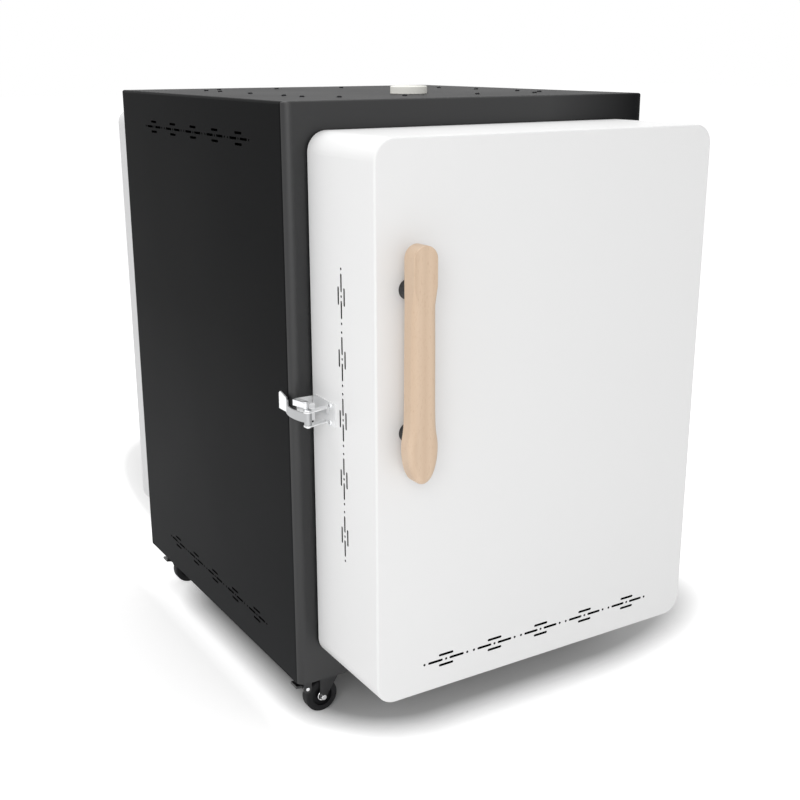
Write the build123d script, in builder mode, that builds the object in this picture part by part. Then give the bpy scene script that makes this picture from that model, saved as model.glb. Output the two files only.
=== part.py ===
from build123d import *
import math
import os

os.makedirs("parts", exist_ok=True)

# All sizes are in millimetres. X runs to the right of the door, Y into the kiln and Z up.
# The origin is the point of the floor under the middle of the cabinet.

# Cabinet: a powder-coated sheet box on four casters
cabinet_width = 662.0
cabinet_depth = 668.0
cabinet_height = 900.0
ground_clearance = 79.0
sheet = 1.5
panel_clearance = 0.2
front_edge_radius = 14.0
lid_depth = 4.0
lid_edge_radius = 3.4

left_x = -cabinet_width / 2
right_x = cabinet_width / 2
front_y = -cabinet_depth / 2
rear_y = cabinet_depth / 2
bottom_z = ground_clearance
top_z = ground_clearance + cabinet_height
jacket_top_z = top_z - lid_depth

# Firing chamber and its two layers of insulation
brick = 76.0
board = 38.0
roof_board = 50.0
chamber_floor_height = 154.0
side_air_space = 15.5
rear_air_space = 22.5
roof_air_space = 16.0
board_front_relief = 2.0
board_joint = 0.2
brick_reveal = 36.0

chamber_width = cabinet_width - 2 * (sheet + side_air_space + board + brick)
chamber_depth = cabinet_depth - sheet - rear_air_space - board - brick
chamber_height = cabinet_height - lid_depth - roof_air_space - roof_board - brick - chamber_floor_height
chamber_floor_z = bottom_z + chamber_floor_height
chamber_top_z = chamber_floor_z + chamber_height
chamber_middle_z = chamber_floor_z + chamber_height / 2
lining_front_y = front_y + sheet
board_front_y = lining_front_y + board_front_relief
chamber_back_y = front_y + chamber_depth
brick_back_y = chamber_back_y + brick
board_back_y = brick_back_y + board
brick_half_width = chamber_width / 2 + brick
board_half_width = brick_half_width + board
brick_bottom_z = chamber_floor_z - brick
brick_top_z = chamber_top_z + brick
board_top_z = brick_top_z + roof_board

# Slots for cooling air: groups of four dashes and three dots
slot_width = 4.0
dash_length = 26.0
dash_offset = 19.0
side_dash_offset = 8.4
dot_offset = 38.5
slot_group_pitch = 89.3
slot_groups = 5
side_slot_inset = 58.5

# Door
door_thickness = 184.0
door_gap = 4.4
door_side_inset = 33.5
door_bottom_inset = 48.0
door_top_inset = 40.0
door_corner_radius = 30.0
door_edge_radius = 3.5
door_inner_edge_radius = 2.0
door_slot_inset = 46.0
door_air_gap = 12.0
plug_clearance = 6.0
plug_depth = 25.0
plug_taper = 8.0
frame_lip = 10.0
gasket_width = 22.0
gasket_clearance = 0.3
door_brick_overlap = 62.0

door_width = cabinet_width - 2 * door_side_inset
door_height = cabinet_height - door_bottom_inset - door_top_inset
door_left_x = left_x + door_side_inset
door_right_x = door_left_x + door_width
door_middle_x = door_left_x + door_width / 2
door_bottom_z = bottom_z + door_bottom_inset
door_top_z = door_bottom_z + door_height
door_middle_z = door_bottom_z + door_height / 2
door_back_y = front_y - door_gap
door_front_y = door_back_y - door_thickness
door_slots_y = door_back_y - door_thickness / 2
door_frame_y = door_back_y - sheet

# Door hinges, on the right
hinge_offset_x = 13.5
hinge_offset_y = 20.0
hinge_height = 70.0
hinge_inset = 110.0
hinge_knuckle_radius = 6.5
hinge_pin_radius = 3.5
running_clearance = 0.05
hinge_leaf = 2.5
hinge_leaf_width = 58.0
hinge_leaf_reach = 38.0
knuckle_gap = 0.4

hinge_x = door_right_x + hinge_offset_x
hinge_y = front_y - hinge_offset_y
hinge_heights = (door_bottom_z + hinge_inset, door_top_z - hinge_inset)

# Pull handle: a wooden grip on two round spacers
handle_inset = 50.5
handle_middle_height = 562.0
handle_length = 328.0
handle_width = 37.0
handle_thickness = 24.0
grip_block_length = 54.0
grip_shoulder_length = 26.0
grip_block_edge = 1.0
grip_body_edge = 9.0
grip_half_widths = (
    (18.3, 247.0),
    (18.8, 190.0),
    (19.3, 112.0),
    (20.0, 86.0),
    (21.2, 73.0),
    (23.4, 60.0),
    (23.9, 48.0),
    (22.2, 32.0),
    (17.6, 16.0),
    (10.0, 4.4),
    (0.0, 0.0),
)
spacer_pitch = 200.0
spacer_length = 22.0
spacer_radius = 14.0
handle_screw_radius = 2.5
handle_screw_depth = 11.0

handle_x = door_left_x + handle_inset
handle_z = bottom_z + handle_middle_height
grip_back_y = door_front_y - spacer_length
grip_front_y = grip_back_y - handle_thickness
grip_top_z = handle_z + handle_length / 2
grip_bottom_z = handle_z - handle_length / 2

# Draw latch at mid height on the left
latch_pin_standoff = 33.5
latch_pin_setback = 53.0
latch_height = 463.0
latch_plate = 2.0
latch_plate_height = 36.0
latch_slot_length = 16.0
latch_slot_width = 4.0
latch_plate_start = 9.0
latch_plate_length = 67.0
latch_ear_radius = 6.5
latch_ear_drop = 13.6
latch_barrel_radius = 5.5
latch_barrel_height = 18.3
latch_strap = 2.0
latch_strap_height = 14.0
latch_tab_length = 24.0
latch_tab_start = 5.0
latch_tab_height = 30.0
latch_layer_gap = 0.3
latch_crank = 6.0
latch_crank_radius = 2.0
latch_crank_head_radius = 3.6
latch_crank_head = 1.6
latch_rest_angle = 95.0
latch_travel = 180.0
claw_rest_angle = 105.0
claw_hub_radius = 3.5
claw_stud_radius = 1.75
claw_height = 9.0
claw_thickness = 2.0
claw_tip = 9.0
keeper_middle_height = 463.0
keeper_lip_distance = 35.0
keeper_lip_start = 9.5
keeper_lip_width = 8.5
keeper_lean = 5.5
keeper_height = 26.0
keeper_base_width = 28.0

latch_x = door_left_x - latch_pin_standoff
latch_y = front_y - latch_pin_setback
latch_z = bottom_z + latch_height

# Vent plug in the roof
vent_distance = 205.0
vent_hole_radius = 21.0
vent_panel_hole_radius = 23.0
plug_head_radius = 30.5
plug_head_height = 12.0
plug_shank_radius = 19.0
plug_shank_end_radius = 17.0
plug_shank_length = 70.0

vent_y = front_y + vent_distance

# Screws through the top panel, in a ring
top_screw_column_x = 227.0
top_screw_row_y = 228.0
top_screw_column_steps = (0.0, 125.0, 187.0)
top_screw_row_steps = (69.0, 185.0)
screw_radius = 2.0
screw_hole_radius = 2.2
screw_head_radius = 4.0
screw_head_height = 2.2
screw_length = 8.0

# Rear cover over the wiring
cover_depth = 125.0
cover_sheet = 1.2
cover_side_inset = 29.5
cover_bottom_inset = 48.0
cover_top_inset = 40.0
cover_corner_radius = 25.0
cover_edge_radius = 2.4
cover_rim_depth = 16.0
cover_clearance = 0.3
cover_slot_inset = 70.0

cover_width = cabinet_width - 2 * cover_side_inset
cover_height = cabinet_height - cover_bottom_inset - cover_top_inset
cover_back_y = rear_y + cover_depth
cover_bottom_z = bottom_z + cover_bottom_inset
cover_middle_z = cover_bottom_z + cover_height / 2
cover_screw_steps = (-330.0, 0.0, 330.0)

# Heating elements in grooves of both side walls, and their leads through the back
element_radius = 6.7
groove_radius = 7.0
element_depth = 4.0
element_pairs = 4
element_pitch = 66.0
element_front_gap = 60.0
lead_radius = 3.0
bush_radius = 7.0
bush_bore = 3.3
bush_hole_radius = 7.1
bush_length_behind = 14.0
lead_length_behind = 30.0

element_x = chamber_width / 2 + element_depth
element_rows = 2 * element_pairs
element_first_z = chamber_middle_z - element_pitch * (element_rows - 1) / 2

# Thermocouple
probe_radius = 3.0
probe_hole_radius = 3.2
probe_height = 150.0
probe_reach = 60.0
probe_head_radius = 11.0
probe_head_length = 32.0

# Mains terminals and contactor under the rear cover, and the cable gland below it
contactor_size = (92.0, 74.0, 86.0)
contactor_place = (-70.0, 190.0)
rail_depth = 7.5
terminal_size = (120.0, 46.0, 34.0)
terminal_place = (60.0, 130.0)
gland_radius = 11.0
gland_nut_radius = 13.0
gland_bore_radius = 6.0
gland_x = 150.0
gland_height = 24.0
gland_length = 34.0
gland_nut_length = 6.0

# Controller on the right side of the cabinet
controller_depth = 22.0
controller_width = 120.0
controller_height = 150.0
controller_wall = 2.5
controller_corner = 8.0
controller_y = -150.0
controller_drop = 199.0
display_width = 84.0
display_height = 36.0
display_thickness = 2.0
display_rise = 34.0
button_radius = 6.0
button_hole_radius = 6.3
button_pitch = 24.0
button_count = 4
button_drop = 12.0
button_stand = 2.0
button_flange_radius = 7.5
button_flange = 1.5
rocker_radius = 9.5
rocker_gap = 0.3
rocker_width = 13.0
rocker_drop = 46.0
rocker_tilt = 10.0
rocker_rise = 4.5
rocker_depth = 5.0

controller_face_x = right_x + controller_depth
controller_z = top_z - controller_drop

# Door switch, a magnetic sensor on the front of the cabinet
switch_length = 32.0
switch_height = 12.0
switch_thickness = 3.6
switch_inset = 64.0

# Swivel casters with a foot brake
caster_inset_x = 77.0
caster_inset_y = 43.0
caster_offset = 20.0
caster_plate = 2.5
caster_plate_size = 60.0
caster_bolt_pitch = 46.0
caster_bolt_radius = 3.0
caster_bolt_hole_radius = 3.2
caster_bolt_head_radius = 5.0
caster_bolt_head = 3.2
race_radius = 21.0
race_height = 7.5
race_gap = 0.3
wheel_radius = 28.0
wheel_width = 19.0
wheel_hub_radius = 9.0
wheel_hub_recess = 5.0
tyre_wall = 10.5
tyre_edge_radius = 3.0
axle_radius = 3.0
cheek = 2.5
cheek_gap = 1.2
cheek_foot = 5.4
cheek_top = 39.0
arm_width = 15.0
axle_cap_radius = 4.4
axle_cap_height = 4.0
rivet_radius = 2.5
rivet_cap_radius = 3.2
rivet_cap_height = 1.4
pedal_pivot_back = 28.0
pedal_pivot_height = 50.0
pedal_width = 20.5
pedal_thickness = 4.0
pedal_reach = 19.0
pedal_rise = 7.0
pedal_boss_radius = 4.6
pedal_shoe_width = 4.0
pedal_shoe_reach = 7.0


def save(part, name):
    part.label = name
    export_step(part, f"parts/{name}.step")


def air_slots():
    """One group of cooling slots about the present location."""
    with Locations((-dash_offset, 0), (dash_offset, 0), (0, side_dash_offset), (0, -side_dash_offset)):
        SlotOverall(dash_length, slot_width)
    with Locations((-dot_offset, 0), (0, 0), (dot_offset, 0)):
        Circle(slot_width / 2)


def pan_head_screws(screws, plane, places, length=screw_length):
    """Pan head screws whose heads lie on a plane and whose shanks go down through it."""
    with BuildSketch(plane) as heads:
        with Locations(*places):
            Circle(screw_head_radius)
    extrude(heads.sketch, amount=screw_head_height)
    rims = screws.edges().filter_by(
        lambda edge: abs(plane.to_local_coords(edge.center()).Z - screw_head_height) < 0.01
    )
    fillet(rims, screw_head_height * 0.6)
    with BuildSketch(plane) as shanks:
        with Locations(*places):
            Circle(screw_radius)
    extrude(shanks.sketch, amount=-length)


# Planes that several pieces are drawn on
front_plane = Plane(origin=(0, front_y, 0), x_dir=(1, 0, 0), z_dir=(0, -1, 0))
rear_plane = Plane(origin=(0, rear_y, 0), x_dir=(-1, 0, 0), z_dir=(0, 1, 0))
left_plane = Plane(origin=(left_x, 0, 0), x_dir=(0, -1, 0), z_dir=(-1, 0, 0))
right_plane = Plane(origin=(right_x, 0, 0), x_dir=(0, 1, 0), z_dir=(1, 0, 0))


# Cabinet jacket: one sheet bent round the two sides and the front, open behind
with BuildPart() as cabinet_jacket:
    with BuildSketch(Plane.XY.offset(bottom_z)) as jacket_plan:
        Rectangle(cabinet_width, cabinet_depth)
        fillet(jacket_plan.vertices().group_by(Axis.Y)[0], front_edge_radius)
        offset(amount=-sheet, mode=Mode.SUBTRACT)
        with Locations((0, rear_y)):
            Rectangle(cabinet_width - 2 * sheet, 4 * sheet, mode=Mode.SUBTRACT)
    extrude(amount=jacket_top_z - bottom_z)
    with BuildSketch(front_plane) as jacket_mouth:
        with Locations((0, chamber_middle_z)):
            Rectangle(chamber_width + 2 * brick_reveal, chamber_height + 2 * brick_reveal)
    extrude(amount=-4 * sheet, mode=Mode.SUBTRACT)
    with BuildSketch(left_plane) as side_slots:
        with Locations((0, bottom_z + side_slot_inset), (0, top_z - side_slot_inset)):
            with GridLocations(slot_group_pitch, 0, slot_groups, 1):
                air_slots()
    extrude(amount=-cabinet_width, mode=Mode.SUBTRACT)
save(cabinet_jacket.part, "cabinet_jacket")

# Top panel: a lid with a turned-down edge that rests on the jacket
top_screw_places = [
    (side * top_screw_column_x, way * step)
    for side in (-1, 1)
    for step in top_screw_column_steps
    for way in ((1,) if step == 0 else (-1, 1))
]
top_screw_places += [
    (side * step, way * top_screw_row_y)
    for side in (-1, 1)
    for step in top_screw_row_steps
    for way in (-1, 1)
]
with BuildPart() as top_panel:
    with BuildSketch(Plane.XY.offset(jacket_top_z)) as lid_plan:
        Rectangle(cabinet_width, cabinet_depth)
        fillet(lid_plan.vertices().group_by(Axis.Y)[0], front_edge_radius)
    extrude(amount=lid_depth)
    fillet(top_panel.faces().sort_by(Axis.Z)[-1].edges(), lid_edge_radius)
    with BuildSketch(Plane.XY.offset(jacket_top_z)) as lid_hollow:
        Rectangle(cabinet_width, cabinet_depth)
        fillet(lid_hollow.vertices().group_by(Axis.Y)[0], front_edge_radius)
        offset(amount=-sheet, mode=Mode.REPLACE)
    extrude(amount=lid_depth - sheet, mode=Mode.SUBTRACT)
    with BuildSketch(Plane.XY.offset(top_z)) as lid_holes:
        with Locations(*top_screw_places):
            Circle(screw_hole_radius)
        with Locations((0, vent_y)):
            Circle(vent_panel_hole_radius)
    extrude(amount=-2 * lid_depth, mode=Mode.SUBTRACT)
save(top_panel.part, "top_panel")

# Base pan, drilled for the casters' bolts
caster_x = right_x - caster_inset_x
caster_y = rear_y - caster_inset_y
with BuildPart() as base_pan:
    with BuildSketch(Plane.XY.offset(bottom_z)) as pan_plan:
        Rectangle(cabinet_width, cabinet_depth)
        fillet(pan_plan.vertices().group_by(Axis.Y)[0], front_edge_radius)
        offset(amount=-sheet - panel_clearance, mode=Mode.REPLACE)
        with GridLocations(2 * caster_x, 2 * caster_y, 2, 2):
            with GridLocations(caster_bolt_pitch, caster_bolt_pitch, 2, 2):
                Circle(caster_bolt_hole_radius, mode=Mode.SUBTRACT)
    extrude(amount=sheet)
save(base_pan.part, "base_pan")

# Places where the element leads and the thermocouple go through the back
lead_places = [
    (side * element_x, element_first_z + row * element_pitch)
    for side in (-1, 1)
    for row in range(element_rows)
]
probe_place = (0, chamber_middle_z + probe_height)
gland_z = bottom_z + gland_height

# Rear panel with a rim that the cover fits over
panel_bottom_z = bottom_z + sheet + panel_clearance
panel_top_z = jacket_top_z - panel_clearance
with BuildPart() as rear_panel:
    with BuildSketch(rear_plane) as panel_outline:
        with Locations((0, (panel_bottom_z + panel_top_z) / 2)):
            Rectangle(cabinet_width - 2 * sheet - 2 * panel_clearance, panel_top_z - panel_bottom_z)
    extrude(amount=-sheet)
    with BuildSketch(rear_plane) as cover_rim:
        with Locations((0, cover_middle_z)):
            RectangleRounded(
                cover_width - 2 * cover_sheet - 2 * cover_clearance,
                cover_height - 2 * cover_sheet - 2 * cover_clearance,
                cover_corner_radius - cover_sheet - cover_clearance,
            )
            RectangleRounded(
                cover_width - 4 * cover_sheet - 2 * cover_clearance,
                cover_height - 4 * cover_sheet - 2 * cover_clearance,
                cover_corner_radius - 2 * cover_sheet - cover_clearance,
                mode=Mode.SUBTRACT,
            )
    extrude(amount=cover_rim_depth)
    with BuildSketch(rear_plane) as panel_holes:
        with Locations(*[(-x, z) for x, z in lead_places]):
            Circle(bush_hole_radius)
        with Locations(probe_place):
            Circle(probe_hole_radius)
        with Locations((-gland_x, gland_z)):
            Circle(gland_radius)
    extrude(amount=-2 * sheet, mode=Mode.SUBTRACT)
    with BuildSketch(left_plane) as rim_screw_holes:
        with Locations(*[(-rear_y - cover_rim_depth / 2, cover_middle_z + step) for step in cover_screw_steps]):
            Circle(screw_hole_radius)
    extrude(amount=-cabinet_width, mode=Mode.SUBTRACT)
save(rear_panel.part, "rear_panel")

# Rear cover: a deep white tray, screwed to the rim from both sides
with BuildPart() as rear_cover:
    with BuildSketch(rear_plane) as cover_outline:
        with Locations((0, cover_middle_z)):
            RectangleRounded(cover_width, cover_height, cover_corner_radius)
    extrude(amount=cover_depth)
    fillet(rear_cover.faces().sort_by(Axis.Y)[-1].edges(), cover_edge_radius)
    with BuildSketch(rear_plane) as cover_hollow:
        with Locations((0, cover_middle_z)):
            RectangleRounded(
                cover_width - 2 * cover_sheet,
                cover_height - 2 * cover_sheet,
                cover_corner_radius - cover_sheet,
            )
    extrude(amount=cover_depth - cover_sheet, mode=Mode.SUBTRACT)
    fillet(rear_cover.faces().filter_by(Axis.Y).sort_by(Axis.Y)[-2].edges(), cover_edge_radius - cover_sheet)
    with BuildSketch(Plane(origin=(0, cover_back_y, 0), x_dir=(-1, 0, 0), z_dir=(0, 1, 0))) as cover_slots:
        with Locations(
            (0, cover_bottom_z + cover_slot_inset),
            (0, cover_bottom_z + cover_height - cover_slot_inset),
        ):
            with GridLocations(slot_group_pitch, 0, slot_groups, 1):
                air_slots()
    extrude(amount=-3 * cover_sheet, mode=Mode.SUBTRACT)
    with BuildSketch(left_plane) as cover_screw_holes:
        with Locations(*[(-rear_y - cover_rim_depth / 2, cover_middle_z + step) for step in cover_screw_steps]):
            Circle(screw_hole_radius)
    extrude(amount=-cabinet_width, mode=Mode.SUBTRACT)
save(rear_cover.part, "rear_cover")

# Cable gland in the rear panel, below the cover: a sleeve with a nut on each side of the sheet
with BuildPart() as cable_gland:
    gland_plane = Plane(origin=(gland_x, rear_y, gland_z), x_dir=(-1, 0, 0), z_dir=(0, 1, 0))
    with BuildSketch(gland_plane.offset(-gland_length / 2)) as sleeve:
        Circle(gland_radius - cover_clearance)
    extrude(amount=gland_length)
    with BuildSketch(gland_plane) as outer_nut:
        RegularPolygon(gland_nut_radius, 6)
    extrude(amount=gland_nut_length)
    with BuildSketch(gland_plane.offset(-sheet)) as inner_nut:
        RegularPolygon(gland_nut_radius, 6)
    extrude(amount=-gland_nut_length)
    fillet(cable_gland.faces().sort_by(Axis.Y)[-1].edges(), 1.5)
    with BuildSketch(gland_plane.offset(-gland_length / 2)) as cable_way:
        Circle(gland_bore_radius)
    extrude(amount=gland_length, mode=Mode.SUBTRACT)
save(cable_gland.part, "cable_gland")

# Screws of the cabinet: the ring on top, the sides of the rear cover, and the casters' bolts
caster_places = [(side * caster_x, way * caster_y) for side in (-1, 1) for way in (-1, 1)]
with BuildPart() as case_fasteners:
    pan_head_screws(case_fasteners, Plane.XY.offset(top_z), top_screw_places)
    for side_plane, turn in ((left_plane, -1), (right_plane, 1)):
        cover_side = side_plane.offset(cover_width / 2 - cabinet_width / 2)
        pan_head_screws(
            case_fasteners,
            cover_side,
            [(turn * (rear_y + cover_rim_depth / 2), cover_middle_z + step) for step in cover_screw_steps],
            length=cover_sheet * 4,
        )
    with BuildSketch(Plane.XY.offset(bottom_z - caster_plate)) as bolt_heads:
        with Locations(*caster_places):
            with GridLocations(caster_bolt_pitch, caster_bolt_pitch, 2, 2):
                RegularPolygon(caster_bolt_head_radius, 6)
    extrude(amount=-caster_bolt_head)
    with BuildSketch(Plane.XY.offset(bottom_z - caster_plate)) as bolt_shanks:
        with Locations(*caster_places):
            with GridLocations(caster_bolt_pitch, caster_bolt_pitch, 2, 2):
                Circle(caster_bolt_radius)
    extrude(amount=caster_plate + sheet)
save(case_fasteners.part, "case_fasteners")


# Insulating bricks: floor, roof with its vent, two side walls with element grooves, and back
def slab(low, high):
    """A box between two corners."""
    with Locations(tuple((a + b) / 2 for a, b in zip(low, high))):
        Box(*[b - a for a, b in zip(low, high)])


with BuildPart() as floor_bricks:
    slab((-brick_half_width, lining_front_y, brick_bottom_z), (brick_half_width, brick_back_y, chamber_floor_z))
save(floor_bricks.part, "floor_bricks")

with BuildPart() as roof_bricks:
    slab((-brick_half_width, lining_front_y, chamber_top_z), (brick_half_width, brick_back_y, brick_top_z))
    with BuildSketch(Plane.XY.offset(chamber_top_z)) as vent_way:
        with Locations((0, vent_y)):
            Circle(vent_hole_radius)
    extrude(amount=brick, mode=Mode.SUBTRACT)
save(roof_bricks.part, "roof_bricks")


def element_path(side, pair, back_y):
    """The centre line of one hairpin element, out from the back wall and back again."""
    low_z = element_first_z + 2 * pair * element_pitch
    high_z = low_z + element_pitch
    bend_y = front_y + element_front_gap + element_pitch / 2
    x = side * element_x
    with BuildLine() as path:
        Line((x, back_y, low_z), (x, bend_y, low_z))
        ThreePointArc(
            (x, bend_y, low_z),
            (x, bend_y - element_pitch / 2, (low_z + high_z) / 2),
            (x, bend_y, high_z),
        )
        Line((x, bend_y, high_z), (x, back_y, high_z))
    return path.line


with BuildPart() as side_wall_bricks:
    for side in (-1, 1):
        inner_x = side * chamber_width / 2
        outer_x = side * brick_half_width
        slab(
            (min(inner_x, outer_x), lining_front_y, chamber_floor_z),
            (max(inner_x, outer_x), chamber_back_y, chamber_top_z),
        )
        for pair in range(element_pairs):
            groove = element_path(side, pair, chamber_back_y)
            with BuildSketch(Plane(origin=groove @ 0, z_dir=groove % 0)) as groove_section:
                Circle(groove_radius)
            sweep(path=groove, mode=Mode.SUBTRACT)
save(side_wall_bricks.part, "side_wall_bricks")

with BuildPart() as back_wall_bricks:
    slab(
        (-brick_half_width, chamber_back_y, chamber_floor_z),
        (brick_half_width, brick_back_y, chamber_top_z),
    )
    with BuildSketch(rear_plane) as back_wall_holes:
        with Locations(*[(-x, z) for x, z in lead_places]):
            Circle(bush_hole_radius)
        with Locations(probe_place):
            Circle(probe_hole_radius)
    extrude(amount=chamber_back_y - rear_y - sheet, mode=Mode.SUBTRACT)
save(back_wall_bricks.part, "back_wall_bricks")

# Fibre boards behind the bricks on every side, cut square and butted together
pan_top_z = bottom_z + sheet
board_edge_x = board_half_width
with BuildPart() as fibre_backing:
    for side in (-1, 1):
        near_x = side * brick_half_width
        far_x = side * board_edge_x
        slab(
            (min(near_x, far_x), board_front_y, brick_bottom_z),
            (max(near_x, far_x), brick_back_y - board_joint, brick_top_z),
        )
    slab((-board_edge_x, brick_back_y, brick_bottom_z), (board_edge_x, board_back_y, brick_top_z))
    with BuildSketch(rear_plane) as board_holes:
        with Locations(*[(-x, z) for x, z in lead_places]):
            Circle(bush_hole_radius)
        with Locations(probe_place):
            Circle(probe_hole_radius)
    extrude(amount=brick_back_y - rear_y, mode=Mode.SUBTRACT)
    slab(
        (-board_edge_x, board_front_y, brick_top_z + board_joint),
        (board_edge_x, board_back_y, board_top_z),
    )
    slab(
        (-board_edge_x, board_front_y, pan_top_z),
        (board_edge_x, board_back_y, brick_bottom_z - board_joint),
    )
    with BuildSketch(Plane.XY.offset(board_top_z)) as board_vent:
        with Locations((0, vent_y)):
            Circle(vent_hole_radius)
    extrude(amount=-roof_board, mode=Mode.SUBTRACT)
save(fibre_backing.part, "fibre_backing")

# Heating elements: four hairpins on each side, with leads out through the back
element_back_y = chamber_back_y - cover_clearance
with BuildPart() as heating_elements:
    for side in (-1, 1):
        for pair in range(element_pairs):
            hairpin = element_path(side, pair, element_back_y)
            with BuildSketch(Plane(origin=hairpin @ 0, z_dir=hairpin % 0)) as coil_section:
                Circle(element_radius)
            sweep(path=hairpin)
    with BuildSketch(rear_plane.offset(lead_length_behind)) as lead_sections:
        with Locations(*[(-x, z) for x, z in lead_places]):
            Circle(lead_radius)
    extrude(amount=element_back_y - rear_y - lead_length_behind)
save(heating_elements.part, "heating_elements")

# Ceramic bushes that carry the leads through the back
with BuildPart() as element_bushes:
    with BuildSketch(rear_plane.offset(bush_length_behind)) as bush_sections:
        with Locations(*[(-x, z) for x, z in lead_places]):
            Circle(bush_radius)
            Circle(bush_bore, mode=Mode.SUBTRACT)
    extrude(amount=chamber_back_y - rear_y - bush_length_behind)
save(element_bushes.part, "element_bushes")

# Thermocouple: a sheath into the chamber and a head behind the rear panel
with BuildPart() as thermocouple:
    with BuildSketch(rear_plane) as sheath_section:
        with Locations(probe_place):
            Circle(probe_radius)
    extrude(amount=chamber_back_y - probe_reach - rear_y)
    with BuildSketch(rear_plane) as head_section:
        with Locations(probe_place):
            Circle(probe_head_radius)
    extrude(amount=probe_head_length)
    fillet(thermocouple.faces().sort_by(Axis.Y)[-1].edges(), 2)
save(thermocouple.part, "thermocouple")

# Contactor and mains terminals on the rear panel
contactor_z = bottom_z + contactor_place[1]
with BuildPart() as contactor:
    with Locations((contactor_place[0], rear_y + contactor_size[1] / 2, contactor_z)):
        Box(*contactor_size)
    fillet(contactor.edges().filter_by(Axis.Y), 3)
    step_y = contactor_size[1] / 3
    with Locations(
        *[
            (contactor_place[0], rear_y + contactor_size[1], contactor_z + way * contactor_size[2] / 2)
            for way in (-1, 1)
        ]
    ):
        Box(contactor_size[0] + 2, step_y, contactor_size[2] / 2, mode=Mode.SUBTRACT)
save(contactor.part, "contactor")

terminal_z = bottom_z + terminal_place[1]
with BuildPart() as terminal_block:
    with Locations((terminal_place[0], rear_y + terminal_size[1] / 2, terminal_z)):
        Box(*terminal_size)
    with Locations((terminal_place[0], rear_y + terminal_size[1] * 0.75, terminal_z)):
        with GridLocations(terminal_size[0] / 6, 0, 5, 1):
            Box(2.0, terminal_size[1] / 2 + 1, terminal_size[2] + 2, mode=Mode.SUBTRACT)
save(terminal_block.part, "terminal_block")

# Vent plug: a ceramic disc with a tapered shank
with BuildPart() as vent_plug:
    with BuildSketch(Plane.XZ.offset(-vent_y)) as plug_section:
        with BuildLine() as plug_line:
            Polyline(
                (0, top_z - plug_shank_length),
                (plug_shank_end_radius, top_z - plug_shank_length),
                (plug_shank_radius, top_z),
                (plug_head_radius, top_z),
                (plug_head_radius, top_z + plug_head_height),
                (0, top_z + plug_head_height),
                close=True,
            )
        make_face()
    revolve(axis=Axis((0, vent_y, 0), (0, 0, 1)))
    fillet(vent_plug.faces().sort_by(Axis.Z)[-1].edges(), 2)
save(vent_plug.part, "vent_plug")

# Controller housing on the right side, open towards the cabinet
controller_plane = Plane(
    origin=(controller_face_x, controller_y, controller_z), x_dir=(0, 1, 0), z_dir=(1, 0, 0)
)
button_places = [((index - (button_count - 1) / 2) * button_pitch, -button_drop) for index in range(button_count)]
with BuildPart() as controller_housing:
    with BuildSketch(controller_plane) as housing_outline:
        RectangleRounded(controller_width, controller_height, controller_corner)
    extrude(amount=-controller_depth)
    fillet(controller_housing.faces().sort_by(Axis.X)[-1].edges(), controller_wall)
    with BuildSketch(controller_plane.offset(-controller_wall)) as housing_hollow:
        RectangleRounded(
            controller_width - 2 * controller_wall,
            controller_height - 2 * controller_wall,
            controller_corner - controller_wall,
        )
    extrude(amount=-controller_depth, mode=Mode.SUBTRACT)
    with BuildSketch(controller_plane) as display_recess:
        with Locations((0, display_rise)):
            Rectangle(display_width, display_height)
    extrude(amount=-display_thickness, mode=Mode.SUBTRACT)
    with BuildSketch(controller_plane) as control_holes:
        with Locations(*button_places):
            Circle(button_hole_radius)
        with Locations((0, -rocker_drop)):
            Rectangle(rocker_width + 2 * rocker_gap, 2 * rocker_radius + 2 * rocker_gap)
    extrude(amount=-controller_wall * 2, mode=Mode.SUBTRACT)
save(controller_housing.part, "controller_housing")

with BuildPart() as controller_display:
    with BuildSketch(controller_plane.offset(-display_thickness)) as lens_outline:
        with Locations((0, display_rise)):
            Rectangle(display_width - 2 * panel_clearance, display_height - 2 * panel_clearance)
    extrude(amount=display_thickness)
save(controller_display.part, "controller_display")

# Four keys, each held behind the face by a flange
button_names = ("button_menu", "button_down", "button_up", "button_start")
for name, place in zip(button_names, button_places):
    with BuildPart() as button:
        with BuildSketch(controller_plane.offset(-controller_wall - panel_clearance)) as key_section:
            with Locations(place):
                Circle(button_radius)
        extrude(amount=controller_wall + panel_clearance + button_stand)
        fillet(button.faces().sort_by(Axis.X)[-1].edges(), 0.6)
        with BuildSketch(controller_plane.offset(-controller_wall - panel_clearance)) as flange_section:
            with Locations(place):
                Circle(button_flange_radius)
        extrude(amount=-button_flange)
    save(button.part, name)

# Power rocker: round ends about its pivot, so that it turns inside its opening
rocker_pivot_x = controller_face_x - controller_wall
rocker_z = controller_z - rocker_drop
with BuildPart() as power_rocker:
    with BuildSketch(Plane.XZ.offset(-controller_y - rocker_width / 2)) as rocker_section:
        with Locations((rocker_pivot_x, rocker_z)):
            Circle(rocker_radius)
        with BuildLine() as rocker_faces:
            reach = 2 * rocker_radius
            sink = 2 * reach * math.tan(math.radians(2 * rocker_tilt))
            Polyline(
                (rocker_pivot_x - rocker_depth, rocker_z - reach),
                (rocker_pivot_x + rocker_rise, rocker_z - reach),
                (rocker_pivot_x + rocker_rise, rocker_z),
                (rocker_pivot_x + rocker_rise - sink / 2, rocker_z + reach),
                (rocker_pivot_x - rocker_depth - sink, rocker_z + reach),
                close=True,
            )
        make_face(mode=Mode.INTERSECT)
    extrude(amount=rocker_width)
save(power_rocker.part, "power_rocker")

# Door switch on the front of the cabinet, behind the top of the door
with BuildPart() as door_switch:
    with BuildSketch(front_plane) as switch_outline:
        with Locations((0, top_z - switch_inset)):
            RectangleRounded(switch_length, switch_height, 2)
    extrude(amount=switch_thickness)
save(door_switch.part, "door_switch")

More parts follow.
